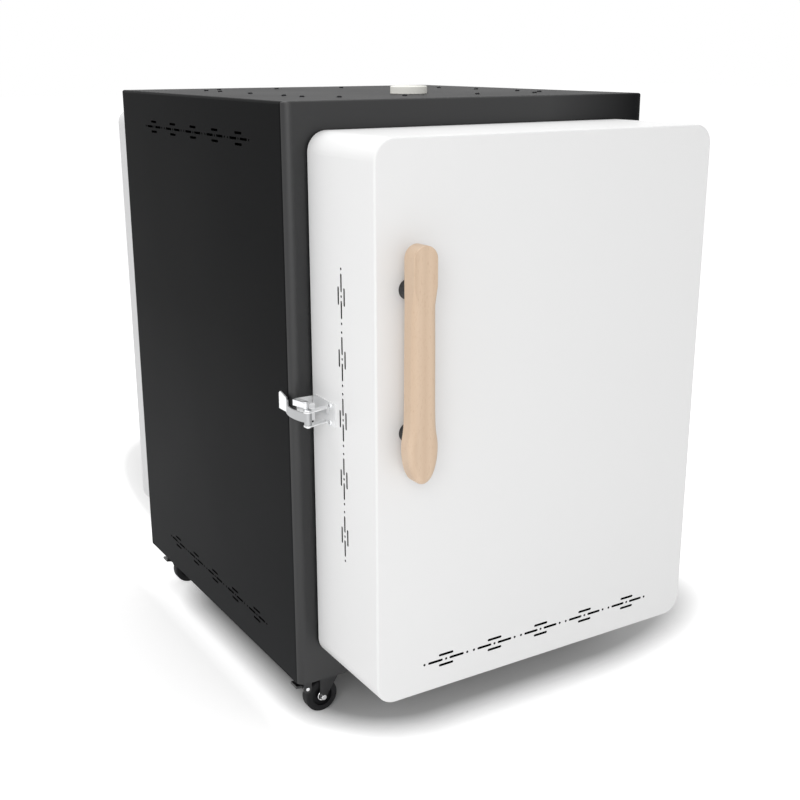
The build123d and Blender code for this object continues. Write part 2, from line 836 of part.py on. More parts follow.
# Door shell: a deep pressed tray, open towards the cabinet
door_plane = Plane(origin=(0, door_back_y, 0), x_dir=(1, 0, 0), z_dir=(0, -1, 0))
door_front_plane = door_plane.offset(door_thickness)
spacer_places = [(handle_x, handle_z - spacer_pitch / 2), (handle_x, handle_z + spacer_pitch / 2)]
with BuildPart() as door_shell:
    with BuildSketch(door_plane) as door_outline:
        with Locations((door_middle_x, door_middle_z)):
            RectangleRounded(door_width, door_height, door_corner_radius)
    extrude(amount=door_thickness)
    fillet(door_shell.faces().sort_by(Axis.Y)[0].edges(), door_edge_radius)
    with BuildSketch(door_plane) as door_hollow:
        with Locations((door_middle_x, door_middle_z)):
            RectangleRounded(door_width - 2 * sheet, door_height - 2 * sheet, door_corner_radius - sheet)
    extrude(amount=door_thickness - sheet, mode=Mode.SUBTRACT)
    fillet(door_shell.faces().filter_by(Axis.Y).sort_by(Axis.Y)[1].edges(), door_inner_edge_radius)
    with BuildSketch(door_front_plane) as door_front_cuts:
        with Locations((door_middle_x, door_bottom_z + door_slot_inset)):
            with GridLocations(slot_group_pitch, 0, slot_groups, 1):
                air_slots()
        with Locations(*spacer_places):
            Circle(handle_screw_radius + panel_clearance)
    extrude(amount=-2 * sheet, mode=Mode.SUBTRACT)
    door_side_slots_plane = Plane(
        origin=(door_left_x, door_slots_y, door_middle_z + 9), x_dir=(0, 0, 1), z_dir=(1, 0, 0)
    )
    with BuildSketch(door_side_slots_plane) as door_side_slots:
        with GridLocations(slot_group_pitch, 0, slot_groups, 1):
            air_slots()
    extrude(amount=2 * sheet, mode=Mode.SUBTRACT)
save(door_shell.part, "door_shell")

# Door back frame: closes the tray round the brick plug
with BuildPart() as door_back_frame:
    with BuildSketch(door_plane) as frame_outline:
        with Locations((door_middle_x, door_middle_z)):
            RectangleRounded(
                door_width - 2 * sheet - 2 * panel_clearance,
                door_height - 2 * sheet - 2 * panel_clearance,
                door_corner_radius - sheet - panel_clearance,
            )
        with Locations((0, chamber_middle_z)):
            Rectangle(chamber_width + 2 * frame_lip, chamber_height + 2 * frame_lip, mode=Mode.SUBTRACT)
    extrude(amount=sheet)
save(door_back_frame.part, "door_back_frame")

# Door bricks: a slab behind the frame and a tapered plug that enters the chamber
frame_plane = door_plane.offset(sheet)
plug_length = door_gap + sheet + plug_depth
with BuildPart() as door_bricks:
    with BuildSketch(frame_plane) as slab_outline:
        with Locations((0, chamber_middle_z)):
            Rectangle(chamber_width + 2 * door_brick_overlap, chamber_height + 2 * door_brick_overlap)
    extrude(amount=brick)
    with BuildSketch(frame_plane) as plug_base:
        with Locations((0, chamber_middle_z)):
            Rectangle(chamber_width - 2 * plug_clearance, chamber_height - 2 * plug_clearance)
    extrude(amount=-plug_length, taper=plug_taper)
save(door_bricks.part, "door_bricks")

# Fibre board in the door, in front of the bricks and round them
door_board_front_y = door_front_y + sheet + door_air_gap
door_brick_face_y = door_frame_y - brick
board_inset = sheet + 2.0
with BuildPart() as door_backing:
    with BuildSketch(frame_plane) as backing_outline:
        with Locations((door_middle_x, door_middle_z)):
            RectangleRounded(
                door_width - 2 * board_inset,
                door_height - 2 * board_inset,
                door_corner_radius - board_inset,
            )
    extrude(amount=door_frame_y - door_board_front_y)
    with BuildSketch(frame_plane) as backing_pocket:
        with Locations((0, chamber_middle_z)):
            Rectangle(chamber_width + 2 * door_brick_overlap, chamber_height + 2 * door_brick_overlap)
    extrude(amount=brick, mode=Mode.SUBTRACT)
save(door_backing.part, "door_backing")

# Door gasket: a flat ring of fibre tape between the door and the cabinet
with BuildPart() as door_gasket:
    with BuildSketch(door_plane) as gasket_outline:
        with Locations((0, chamber_middle_z)):
            RectangleRounded(
                chamber_width + 2 * brick_reveal + 2 * gasket_width,
                chamber_height + 2 * brick_reveal + 2 * gasket_width,
                gasket_width,
            )
            Rectangle(chamber_width + 2 * brick_reveal, chamber_height + 2 * brick_reveal, mode=Mode.SUBTRACT)
    extrude(amount=-(door_gap - gasket_clearance))
save(door_gasket.part, "door_gasket")

# Hinges: each has a lower knuckle on the cabinet and an upper one on the door
knuckle_height = hinge_height / 2 - knuckle_gap / 2
hinge_hole_radius = hinge_pin_radius + running_clearance
with BuildPart() as cabinet_hinge_leaves:
    for height in hinge_heights:
        with Locations((hinge_x, hinge_y, height - hinge_height / 2)):
            Cylinder(
                hinge_knuckle_radius,
                knuckle_height,
                align=(Align.CENTER, Align.CENTER, Align.MIN),
            )
        slab(
            (hinge_x - hinge_leaf / 2, hinge_y, height - hinge_height / 2),
            (hinge_x + hinge_leaf / 2, front_y, height - knuckle_gap / 2),
        )
        slab(
            (hinge_x - hinge_leaf_reach - hinge_leaf / 2, front_y - hinge_leaf, height - hinge_height / 2),
            (hinge_x + hinge_leaf / 2, front_y, height + hinge_height / 2),
        )
        with Locations((hinge_x, hinge_y, height - hinge_height / 2)):
            Cylinder(
                hinge_hole_radius,
                hinge_height,
                align=(Align.CENTER, Align.CENTER, Align.MIN),
                mode=Mode.SUBTRACT,
            )
save(cabinet_hinge_leaves.part, "cabinet_hinge_leaves")

hinge_screw_rise = 22.0
hinge_screw_depth = 40.0
hinge_screw_places = [
    (hinge_y - hinge_screw_depth, height + step)
    for height in hinge_heights
    for step in (-hinge_screw_rise, 0, hinge_screw_rise)
]
door_side_plane = Plane(origin=(door_right_x, 0, 0), x_dir=(0, 1, 0), z_dir=(1, 0, 0))
with BuildPart() as door_hinge_leaves:
    for height in hinge_heights:
        with Locations((hinge_x, hinge_y, height + knuckle_gap / 2)):
            Cylinder(
                hinge_knuckle_radius,
                knuckle_height,
                align=(Align.CENTER, Align.CENTER, Align.MIN),
            )
        slab(
            (door_right_x, hinge_y - hinge_leaf / 2, height + knuckle_gap / 2),
            (hinge_x, hinge_y + hinge_leaf / 2, height + hinge_height / 2),
        )
        slab(
            (door_right_x, hinge_y - hinge_leaf_width, height - hinge_height / 2),
            (door_right_x + hinge_leaf, hinge_y + hinge_leaf / 2, height + hinge_height / 2),
        )
        with Locations((hinge_x, hinge_y, height)):
            Cylinder(hinge_hole_radius, 2 * hinge_height, mode=Mode.SUBTRACT)
    with BuildSketch(door_side_plane) as leaf_holes:
        with Locations(*hinge_screw_places):
            Circle(screw_hole_radius)
    extrude(amount=2 * hinge_leaf, mode=Mode.SUBTRACT)
save(door_hinge_leaves.part, "door_hinge_leaves")

with BuildPart() as hinge_pins:
    with Locations(*[(hinge_x, hinge_y, height) for height in hinge_heights]):
        Cylinder(hinge_pin_radius, hinge_height)
    chamfer(hinge_pins.edges().filter_by(GeomType.CIRCLE), 0.6)
save(hinge_pins.part, "hinge_pins")

# Wooden grip: a crisp block at the top, then a body with rounded edges that swells to its foot
grip_plane = Plane(origin=(handle_x, grip_back_y, 0), x_dir=(1, 0, 0), z_dir=(0, -1, 0))
block_end_z = grip_top_z - grip_block_length
body_top_z = block_end_z - grip_shoulder_length
with BuildPart() as grip_block:
    with BuildSketch(grip_plane):
        with Locations((0, grip_top_z - handle_width / 2)):
            Circle(handle_width / 2)
        with Locations((0, (block_end_z + grip_top_z - handle_width / 2) / 2)):
            Rectangle(handle_width, grip_block_length - handle_width / 2)
    extrude(amount=handle_thickness)
    fillet(
        grip_block.faces().sort_by(Axis.Y)[0].edges().sort_by(Axis.Z)[1:],
        grip_block_edge,
    )

with BuildPart() as handle_grip:
    with BuildSketch(grip_plane) as grip_outline:
        with BuildLine() as grip_edge:
            right_points = [(x, grip_bottom_z + rise) for x, rise in grip_half_widths]
            left_points = [(-x, z) for x, z in reversed(right_points[:-1])]
            Line((-right_points[0][0], body_top_z), (right_points[0][0], body_top_z))
            Line((right_points[0][0], body_top_z), right_points[0])
            Spline(*right_points, *left_points, tangents=[(0, -1), (0, 1)])
            Line(left_points[-1], (-right_points[0][0], body_top_z))
        make_face()
    extrude(amount=handle_thickness)
    front_rim = handle_grip.faces().sort_by(Axis.Y)[0].edges().sort_by(Axis.Z)[:-1]
    fillet(front_rim, grip_body_edge)
    add(grip_block.part)
    loft(
        [
            grip_block.faces().sort_by(Axis.Z)[0],
            handle_grip.faces().filter_by(Plane.XY).filter_by_position(
                Axis.Z, body_top_z - 0.1, body_top_z + 0.1
            )[0],
        ]
    )
    with BuildSketch(grip_plane) as grip_screw_holes:
        with Locations(*[(0, z) for x, z in spacer_places]):
            Circle(handle_screw_radius + panel_clearance)
    extrude(amount=handle_screw_depth + 1, mode=Mode.SUBTRACT)
save(handle_grip.part, "handle_grip")

# Black spacers between the grip and the door
with BuildPart() as handle_spacers:
    with BuildSketch(door_front_plane) as spacer_sections:
        with Locations(*spacer_places):
            Circle(spacer_radius)
            Circle(handle_screw_radius + panel_clearance, mode=Mode.SUBTRACT)
    extrude(amount=spacer_length)
save(handle_spacers.part, "handle_spacers")

# Latch base: a plate on the door's side with two ears for the crank
latch_face_x = door_left_x - latch_plate
low_ear_top_z = latch_z - latch_ear_drop
lever_bottom_z = low_ear_top_z + latch_layer_gap
lever_top_z = lever_bottom_z + latch_barrel_height
high_ear_z = lever_top_z + latch_layer_gap
crank_bottom_z = high_ear_z + latch_plate + latch_layer_gap
claw_bottom_z = crank_bottom_z + latch_plate + latch_layer_gap
claw_top_z = claw_bottom_z + claw_height
plate_start_y = front_y - latch_plate_start
plate_end_y = plate_start_y - latch_plate_length
latch_screw_places = [(plate_end_y + 14, latch_z - 13), (plate_end_y + 14, latch_z + 13)]
door_left_plane = Plane(origin=(door_left_x, 0, 0), x_dir=(0, 1, 0), z_dir=(1, 0, 0))
with BuildPart() as latch_base:
    with BuildSketch(door_left_plane) as latch_plate_outline:
        with Locations(((plate_start_y + plate_end_y) / 2, latch_z)):
            RectangleRounded(latch_plate_length, latch_plate_height, 3)
        with Locations(*latch_screw_places):
            Circle(screw_hole_radius, mode=Mode.SUBTRACT)
        with Locations((plate_end_y + 22.5, latch_z + 6)):
            SlotOverall(latch_slot_length, latch_slot_width, rotation=90, mode=Mode.SUBTRACT)
    extrude(amount=-latch_plate)
    for ear_z in (low_ear_top_z - latch_plate, high_ear_z):
        with BuildSketch(Plane.XY.offset(ear_z)) as ear_plan:
            with BuildLine() as ear_line:
                ear_tip = ThreePointArc(
                    (latch_x, latch_y - latch_ear_radius),
                    (latch_x - latch_ear_radius, latch_y),
                    (latch_x, latch_y + latch_ear_radius),
                )
                Polyline(
                    ear_tip @ 1,
                    (latch_face_x, plate_start_y - 31),
                    (latch_face_x, plate_end_y + 26),
                    ear_tip @ 0,
                )
            make_face()
            with Locations((latch_x, latch_y)):
                Circle(latch_crank_radius + running_clearance, mode=Mode.SUBTRACT)
        extrude(amount=latch_plate)
save(latch_base.part, "latch_base")

# Latch crank: a pin through both ears with a crank plate on top, and a stud for the claw
claw_x = latch_x + latch_crank * math.cos(math.radians(latch_rest_angle))
claw_y = latch_y + latch_crank * math.sin(math.radians(latch_rest_angle))
crank_foot_z = low_ear_top_z - latch_plate - latch_layer_gap
with BuildPart() as latch_crank_pin:
    with BuildSketch(Plane.XY.offset(crank_foot_z)) as crank_shank:
        with Locations((latch_x, latch_y)):
            Circle(latch_crank_radius)
    extrude(amount=crank_bottom_z - crank_foot_z)
    with BuildSketch(Plane.XY.offset(crank_foot_z)) as crank_head:
        with Locations((latch_x, latch_y)):
            Circle(latch_crank_head_radius)
    extrude(amount=-latch_crank_head)
    with BuildSketch(Plane.XY.offset(crank_bottom_z)) as crank_plan:
        with Locations((latch_x, latch_y)):
            Circle(latch_barrel_radius)
        with Locations((claw_x, claw_y)):
            Circle(claw_hub_radius)
        make_hull()
    extrude(amount=latch_plate)
    with BuildSketch(Plane.XY.offset(crank_bottom_z + latch_plate)) as claw_stud:
        with Locations((claw_x, claw_y)):
            Circle(claw_stud_radius)
    extrude(amount=claw_top_z - crank_bottom_z - latch_plate)
    with BuildSketch(Plane.XY.offset(claw_top_z)) as stud_head:
        with Locations((claw_x, claw_y)):
            Circle(claw_hub_radius - latch_layer_gap)
    extrude(amount=latch_crank_head)
save(latch_crank_pin.part, "latch_crank_pin")

# Latch lever: a barrel and a strip cut to a tab at its end and bent, shown released along the side
strap_bottom_z = lever_top_z - latch_strap_height
tab_top_z = strap_bottom_z + latch_tab_height
tab_end_y = front_y + latch_tab_length
strap_outline = [
    (latch_y - latch_barrel_radius, strap_bottom_z),
    (front_y, strap_bottom_z),
    (tab_end_y, strap_bottom_z + 3),
    (tab_end_y, tab_top_z - 3),
    (tab_end_y - 3, tab_top_z),
    (front_y + 10, tab_top_z - 6),
    (front_y - latch_tab_start + 1, tab_top_z - 8),
    (front_y - latch_tab_start, lever_top_z),
    (latch_y - latch_barrel_radius, lever_top_z),
]
with BuildPart() as strap:
    with BuildSketch(Plane.XY.offset(strap_bottom_z)) as strap_plan:
        with BuildLine() as strap_line:
            strap_bend = ThreePointArc(
                (latch_x - latch_barrel_radius + 1, latch_y + 1),
                (left_x - 10.0, front_y - 22.0),
                (left_x - 4.5, front_y + 8.0),
            )
            Line(strap_bend @ 1, (left_x - 8.0, tab_end_y + 2))
        trace(strap_line.line, latch_strap)
    extrude(amount=latch_tab_height)
    with BuildSketch(left_plane) as strap_side:
        Polygon(*[(-y, z) for y, z in strap_outline], align=None)
        fillet(strap_side.vertices(), 1.2)
    extrude(amount=cabinet_width / 4, both=True, mode=Mode.INTERSECT)
with BuildPart() as latch_lever:
    with BuildSketch(Plane.XY.offset(lever_bottom_z)) as barrel_plan:
        with Locations((latch_x, latch_y)):
            Circle(latch_barrel_radius)
    extrude(amount=latch_barrel_height)
    add(strap.part)
    with BuildSketch(Plane.XY.offset(lever_bottom_z)) as lever_bore:
        with Locations((latch_x, latch_y)):
            Circle(latch_crank_radius + running_clearance)
    extrude(amount=latch_barrel_height, mode=Mode.SUBTRACT)
save(latch_lever.part, "latch_lever")

# Latch claw: hooks behind the keeper's lip when the lever is thrown
closed_angle = math.radians(latch_rest_angle + latch_travel)
closed_claw_x = latch_x + latch_crank * math.cos(closed_angle)
closed_claw_y = latch_y + latch_crank * math.sin(closed_angle)
closed_hook_x = left_x + keeper_lip_start - claw_thickness - 1.0
closed_hook_y = front_y - keeper_lip_distance + claw_thickness / 2 + latch_layer_gap
claw_length = math.hypot(closed_hook_x - closed_claw_x, closed_hook_y - closed_claw_y)
claw_closed_angle = math.degrees(math.atan2(closed_hook_y - closed_claw_y, closed_hook_x - closed_claw_x))
claw_swing = claw_closed_angle - claw_rest_angle
claw_ratio = (claw_swing - latch_travel) / latch_travel
hook_x = claw_x + claw_length * math.cos(math.radians(claw_rest_angle))
hook_y = claw_y + claw_length * math.sin(math.radians(claw_rest_angle))
tip_angle = math.radians(claw_rest_angle - claw_closed_angle)
with BuildPart() as latch_claw:
    with BuildLine() as claw_line:
        Polyline(
            (claw_x, claw_y),
            (hook_x, hook_y),
            (hook_x + claw_tip * math.cos(tip_angle), hook_y + claw_tip * math.sin(tip_angle)),
        )
    with BuildSketch(Plane.XY.offset(claw_bottom_z)) as claw_plan:
        trace(claw_line.line, claw_thickness)
        with Locations((claw_x, claw_y)):
            Circle(claw_hub_radius)
            Circle(claw_stud_radius + running_clearance, mode=Mode.SUBTRACT)
    extrude(amount=claw_height - latch_layer_gap)
save(latch_claw.part, "latch_claw")

# Keeper: a strip on the front of the cabinet, bent out beside the door and back into a lip
keeper_z = bottom_z + keeper_middle_height
keeper_foot_x = left_x + front_edge_radius - 1
keeper_leg_x = left_x + keeper_lip_start + keeper_lip_width
keeper_lip_y = front_y - keeper_lip_distance - latch_plate / 2
with BuildPart() as latch_keeper:
    with BuildSketch(Plane.XY.offset(keeper_z - keeper_height / 2)) as keeper_plan:
        with BuildLine() as keeper_line:
            Polyline(
                (keeper_foot_x + keeper_base_width, front_y - latch_plate / 2),
                (keeper_foot_x - keeper_lean + latch_plate, front_y - latch_plate / 2),
                (keeper_leg_x, keeper_lip_y),
                (left_x + keeper_lip_start, keeper_lip_y),
            )
        trace(keeper_line.line, latch_plate)
    extrude(amount=keeper_height)
    with BuildSketch(Plane.XY.offset(keeper_z - keeper_height / 2)) as jacket_outline:
        Rectangle(cabinet_width, cabinet_depth)
        fillet(jacket_outline.vertices().group_by(Axis.Y)[0], front_edge_radius)
    extrude(amount=keeper_height, mode=Mode.SUBTRACT)
save(latch_keeper.part, "latch_keeper")

# Screws of the door: handle bolts from inside, hinge screws and latch screws
with BuildPart() as door_screws:
    with BuildSketch(door_front_plane.offset(-sheet)) as handle_bolt_shanks:
        with Locations(*spacer_places):
            Circle(handle_screw_radius)
    extrude(amount=sheet + spacer_length + handle_screw_depth)
    with BuildSketch(door_front_plane.offset(-sheet)) as handle_bolt_heads:
        with Locations(*spacer_places):
            RegularPolygon(5.0, 6)
    extrude(amount=-4.0)
    pan_head_screws(
        door_screws,
        door_side_plane.offset(hinge_leaf),
        hinge_screw_places,
        length=hinge_leaf - 0.2,
    )
    pan_head_screws(
        door_screws,
        Plane(origin=(latch_face_x, 0, 0), x_dir=(0, -1, 0), z_dir=(-1, 0, 0)),
        [(-y, z) for y, z in latch_screw_places],
        length=latch_plate - 0.2,
    )
save(door_screws.part, "door_screws")

# Caster plates, bolted under the base pan
with BuildPart() as caster_plates:
    with BuildSketch(Plane.XY.offset(bottom_z)) as plate_plan:
        with Locations(*caster_places):
            RectangleRounded(caster_plate_size, caster_plate_size, 6)
            with GridLocations(caster_bolt_pitch, caster_bolt_pitch, 2, 2):
                Circle(caster_bolt_hole_radius, mode=Mode.SUBTRACT)
    extrude(amount=-caster_plate)
    with BuildSketch(Plane.XY.offset(bottom_z)) as race_plan:
        with Locations(*caster_places):
            Circle(race_radius - 4)
    extrude(amount=-race_height + race_gap)
save(caster_plates.part, "caster_plates")

# Casters: swivel fork, wheel, axle and brake pedal, trailing outwards on both sides
fork_top_z = bottom_z - race_height
axle_z = wheel_radius
cheek_inner = wheel_width / 2 + cheek_gap
cheek_outer = cheek_inner + cheek
for end, y_sign in (("front", -1), ("rear", 1)):
    for hand, x_sign in (("left", -1), ("right", 1)):
        swivel_x = x_sign * caster_x
        middle_y = y_sign * caster_y
        axle_x = swivel_x + x_sign * caster_offset
        pivot_x = axle_x + x_sign * pedal_pivot_back
        side_view = Plane(origin=(0, middle_y, 0), x_dir=(1, 0, 0), z_dir=(0, -1, 0))
        name = f"{end}_{hand}"

        with BuildPart() as fork:
            with BuildSketch(Plane.XY.offset(fork_top_z)) as crown_plan:
                with Locations((swivel_x, middle_y)):
                    Circle(race_radius)
                with Locations(((swivel_x + pivot_x) / 2, middle_y)):
                    Rectangle(abs(pivot_x - swivel_x) + arm_width, 2 * cheek_outer)
            extrude(amount=-cheek)
            for way in (-1, 1):
                cheek_plane = side_view.offset(way * (cheek_inner + cheek / 2))
                with BuildSketch(cheek_plane) as leg_outline:
                    with Locations((axle_x, axle_z)):
                        Circle(cheek_foot)
                    with Locations((axle_x + x_sign * (cheek_foot - cheek_top / 2), fork_top_z - cheek / 2)):
                        Rectangle(cheek_top, cheek)
                    make_hull()
                extrude(amount=cheek / 2, both=True)
                with BuildSketch(cheek_plane) as arm_outline:
                    with Locations((pivot_x, pedal_pivot_height)):
                        Circle(arm_width / 2)
                    with Locations((pivot_x, fork_top_z - cheek / 2)):
                        Rectangle(arm_width, cheek)
                    make_hull()
                extrude(amount=cheek / 2, both=True)
            with BuildSketch(side_view) as fork_bores:
                with Locations((axle_x, axle_z)):
                    Circle(axle_radius + running_clearance)
                with Locations((pivot_x, pedal_pivot_height)):
                    Circle(rivet_radius + running_clearance)
            extrude(amount=wheel_width, both=True, mode=Mode.SUBTRACT)
        save(fork.part, f"{name}_fork")

        with BuildPart() as wheel:
            with BuildSketch(side_view) as wheel_outline:
                with Locations((axle_x, axle_z)):
                    Circle(wheel_radius)
            extrude(amount=wheel_width / 2, both=True)
            fillet(wheel.edges().filter_by(GeomType.CIRCLE), tyre_edge_radius)
            for way in (-1, 1):
                with BuildSketch(side_view.offset(way * wheel_width / 2)) as hub_recess:
                    with Locations((axle_x, axle_z)):
                        Circle(wheel_radius - tyre_wall)
                        Circle(wheel_hub_radius, mode=Mode.SUBTRACT)
                extrude(amount=-way * wheel_hub_recess, mode=Mode.SUBTRACT)
            with BuildSketch(side_view) as wheel_bore:
                with Locations((axle_x, axle_z)):
                    Circle(axle_radius + running_clearance)
            extrude(amount=wheel_width, both=True, mode=Mode.SUBTRACT)
        save(wheel.part, f"{name}_wheel")

        with BuildPart() as axle:
            for pin_x, pin_z, pin_radius, cap_radius, cap_height in (
                (axle_x, axle_z, axle_radius, axle_cap_radius, axle_cap_height),
                (pivot_x, pedal_pivot_height, rivet_radius, rivet_cap_radius, rivet_cap_height),
            ):
                with BuildSketch(side_view) as pin_section:
                    with Locations((pin_x, pin_z)):
                        Circle(pin_radius)
                extrude(amount=cheek_outer, both=True)
                for way in (-1, 1):
                    with BuildSketch(side_view.offset(way * cheek_outer)) as cap_section:
                        with Locations((pin_x, pin_z)):
                            Circle(cap_radius)
                    extrude(amount=way * cap_height)
            cap_rims = axle.edges().filter_by(
                lambda edge: abs(abs(edge.center().Y - middle_y) - cheek_outer) > rivet_cap_height / 2
            )
            fillet(cap_rims.filter_by(GeomType.CIRCLE), rivet_cap_height / 2)
        save(axle.part, f"{name}_axle")

        with BuildPart() as pedal:
            with BuildSketch(side_view) as pedal_outline:
                with BuildLine() as pedal_line:
                    Polyline(
                        (pivot_x, pedal_pivot_height + 2),
                        (pivot_x + x_sign * pedal_reach / 2, pedal_pivot_height + pedal_rise - 1.5),
                        (pivot_x + x_sign * pedal_reach, pedal_pivot_height + pedal_rise),
                    )
                trace(pedal_line.line, pedal_thickness)
                with Locations((pivot_x, pedal_pivot_height)):
                    Circle(pedal_boss_radius)
                with Locations((pivot_x, pedal_pivot_height - pedal_shoe_reach / 2)):
                    Rectangle(pedal_shoe_width, pedal_shoe_reach)
                with Locations((pivot_x, pedal_pivot_height)):
                    Circle(rivet_radius + running_clearance, mode=Mode.SUBTRACT)
            extrude(amount=pedal_width / 2, both=True)
        save(pedal.part, f"{name}_brake_pedal")
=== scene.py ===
import bmesh
import bpy
import math
from mathutils import Matrix, Vector


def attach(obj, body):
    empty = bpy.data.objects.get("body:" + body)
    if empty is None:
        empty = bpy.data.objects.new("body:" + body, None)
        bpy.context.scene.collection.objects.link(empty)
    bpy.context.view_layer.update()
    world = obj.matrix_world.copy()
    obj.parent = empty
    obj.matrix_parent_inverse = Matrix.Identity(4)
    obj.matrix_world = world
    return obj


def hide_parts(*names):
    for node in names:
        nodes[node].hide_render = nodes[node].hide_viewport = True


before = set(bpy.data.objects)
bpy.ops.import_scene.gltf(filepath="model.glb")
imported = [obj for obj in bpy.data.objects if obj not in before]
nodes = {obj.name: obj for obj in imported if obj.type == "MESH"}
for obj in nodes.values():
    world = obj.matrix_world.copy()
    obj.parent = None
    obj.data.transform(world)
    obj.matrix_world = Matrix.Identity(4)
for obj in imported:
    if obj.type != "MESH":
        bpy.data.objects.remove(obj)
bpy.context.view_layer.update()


# Cabinet: folded steel sheet with an anthracite powder coat. The coat is a fine, slightly
# uneven skin with a satin sheen, sprayed and stoved on after the slots are punched.
def new_group(name, inputs, outputs):
    """A shader node group with named inputs (name, type, value) and outputs (name, type)."""
    group = bpy.data.node_groups.new(name, "ShaderNodeTree")
    for label, kind, value in inputs:
        socket = group.interface.new_socket(label, in_out="INPUT", socket_type=kind)
        socket.default_value = value
    for label, kind in outputs:
        group.interface.new_socket(label, in_out="OUTPUT", socket_type=kind)
    start = group.nodes.new("NodeGroupInput")
    end = group.nodes.new("NodeGroupOutput")
    return group, start, end


def node(tree, kind, **settings):
    """A node of a tree with its properties and input values set by name."""
    made = tree.nodes.new(kind)
    for key, value in settings.items():
        if key.startswith("in_"):
            made.inputs[key[3:].replace("_", " ")].default_value = value
        else:
            setattr(made, key, value)
    return made


def math_node(tree, operation, first, second):
    """A maths node between two sockets or numbers."""
    made = tree.nodes.new("ShaderNodeMath")
    made.operation = operation
    for slot, value in zip(made.inputs, (first, second)):
        if isinstance(value, (int, float)):
            slot.default_value = value
        else:
            tree.links.new(value, slot)
    return made.outputs[0]


def mix_colour(tree, factor, first, second, blend="MIX"):
    """A colour mix between two sockets or colours."""
    made = tree.nodes.new("ShaderNodeMix")
    made.data_type = "RGBA"
    made.blend_type = blend
    for slot, value in zip((made.inputs[0], made.inputs[6], made.inputs[7]), (factor, first, second)):
        if isinstance(value, (int, float)):
            slot.default_value = value
        elif isinstance(value, tuple):
            slot.default_value = (*value, 1.0)
        else:
            tree.links.new(value, slot)
    return made.outputs[2]


def noise(tree, vector, scale, detail=3.0, roughness=0.5):
    """The factor of a noise texture."""
    made = node(tree, "ShaderNodeTexNoise", in_Scale=scale, in_Detail=detail, in_Roughness=roughness)
    tree.links.new(vector, made.inputs["Vector"])
    return made.outputs["Fac"]


coat_group, coat_in, coat_out = new_group(
    "powder_coat",
    [("Vector", "NodeSocketVector", (0, 0, 0)), ("Colour", "NodeSocketColor", (0.5, 0.5, 0.5, 1)),
     ("Roughness", "NodeSocketFloat", 0.5), ("Grain", "NodeSocketFloat", 900.0),
     ("Mottle", "NodeSocketFloat", 0.04)],
    [("Colour", "NodeSocketColor"), ("Roughness", "NodeSocketFloat"), ("Height", "NodeSocketFloat")],
)
broad = noise(coat_group, coat_in.outputs["Vector"], 3.5, 2.0)
fine = node(coat_group, "ShaderNodeTexNoise", in_Detail=2.0, in_Roughness=0.45)
coat_group.links.new(coat_in.outputs["Vector"], fine.inputs["Vector"])
coat_group.links.new(coat_in.outputs["Grain"], fine.inputs["Scale"])
speck = noise(coat_group, coat_in.outputs["Vector"], 260.0, 1.0)
broad_part = math_node(coat_group, "MULTIPLY", broad, 0.6)
speck_part = math_node(coat_group, "MULTIPLY", speck, 0.4)
unevenness = math_node(coat_group, "ADD", broad_part, speck_part)
centred = math_node(coat_group, "SUBTRACT", unevenness, 0.5)
shift = math_node(coat_group, "MULTIPLY", centred, coat_in.outputs["Mottle"])
gain = math_node(coat_group, "ADD", shift, 1.0)
tinted = coat_group.nodes.new("ShaderNodeVectorMath")
tinted.operation = "SCALE"
coat_group.links.new(coat_in.outputs["Colour"], tinted.inputs[0])
coat_group.links.new(gain, tinted.inputs["Scale"])
coat_group.links.new(tinted.outputs[0], coat_out.inputs["Colour"])
broad_centred = math_node(coat_group, "SUBTRACT", broad, 0.5)
rough_shift = math_node(coat_group, "MULTIPLY", broad_centred, 0.10)
uneven_roughness = math_node(coat_group, "ADD", coat_in.outputs["Roughness"], rough_shift)
coat_group.links.new(uneven_roughness, coat_out.inputs["Roughness"])
coat_group.links.new(fine.outputs["Fac"], coat_out.inputs["Height"])


def start_material(name, metallic=0.0, specular=0.5, coat=0.0, coat_roughness=0.2):
    """A material with its Principled shader and the object's coordinates."""
    material = bpy.data.materials.new(name)
    material.use_nodes = True
    tree = material.node_tree
    shader = tree.nodes["Principled BSDF"]
    shader.inputs["Metallic"].default_value = metallic
    shader.inputs["Specular IOR Level"].default_value = specular
    shader.inputs["Coat Weight"].default_value = coat
    shader.inputs["Coat Roughness"].default_value = coat_roughness
    place = tree.nodes.new("ShaderNodeTexCoord").outputs["Object"]
    return material, tree, shader, place


def bump(tree, shader, height, distance, strength=1.0):
    """A bump of a height socket on a shader."""
    made = node(tree, "ShaderNodeBump", in_Strength=strength, in_Distance=distance)
    tree.links.new(height, made.inputs["Height"])
    tree.links.new(made.outputs["Normal"], shader.inputs["Normal"])


def coordinates(tree, place):
    """The X, Y and Z sockets of a place."""
    apart = tree.nodes.new("ShaderNodeSeparateXYZ")
    tree.links.new(place, apart.inputs[0])
    return apart.outputs


def map_range(tree, value, start, end, first, last):
    """Maps a socket from one range to another and holds it at both ends."""
    made = node(
        tree, "ShaderNodeMapRange", in_From_Min=start, in_From_Max=end, in_To_Min=first, in_To_Max=last
    )
    tree.links.new(value, made.inputs["Value"])
    return made.outputs[0]


def box_mask(tree, place, centre, half, mirrored=False):
    """One inside a box of the object's coordinates; mirrored takes X without its sign."""
    apart = coordinates(tree, place)
    inside = 1.0
    for axis in range(3):
        coordinate = apart[axis]
        if mirrored and axis == 0:
            coordinate = math_node(tree, "ABSOLUTE", coordinate, 0.0)
        near = tree.nodes.new("ShaderNodeMath")
        near.operation = "COMPARE"
        tree.links.new(coordinate, near.inputs[0])
        near.inputs[1].default_value = centre[axis]
        near.inputs[2].default_value = half[axis]
        inside = math_node(tree, "MULTIPLY", near.outputs[0], inside)
    return inside


# Near-black for the walls of slots: painted shade.
slot_wall_shade_colour = (0.004, 0.004, 0.004)


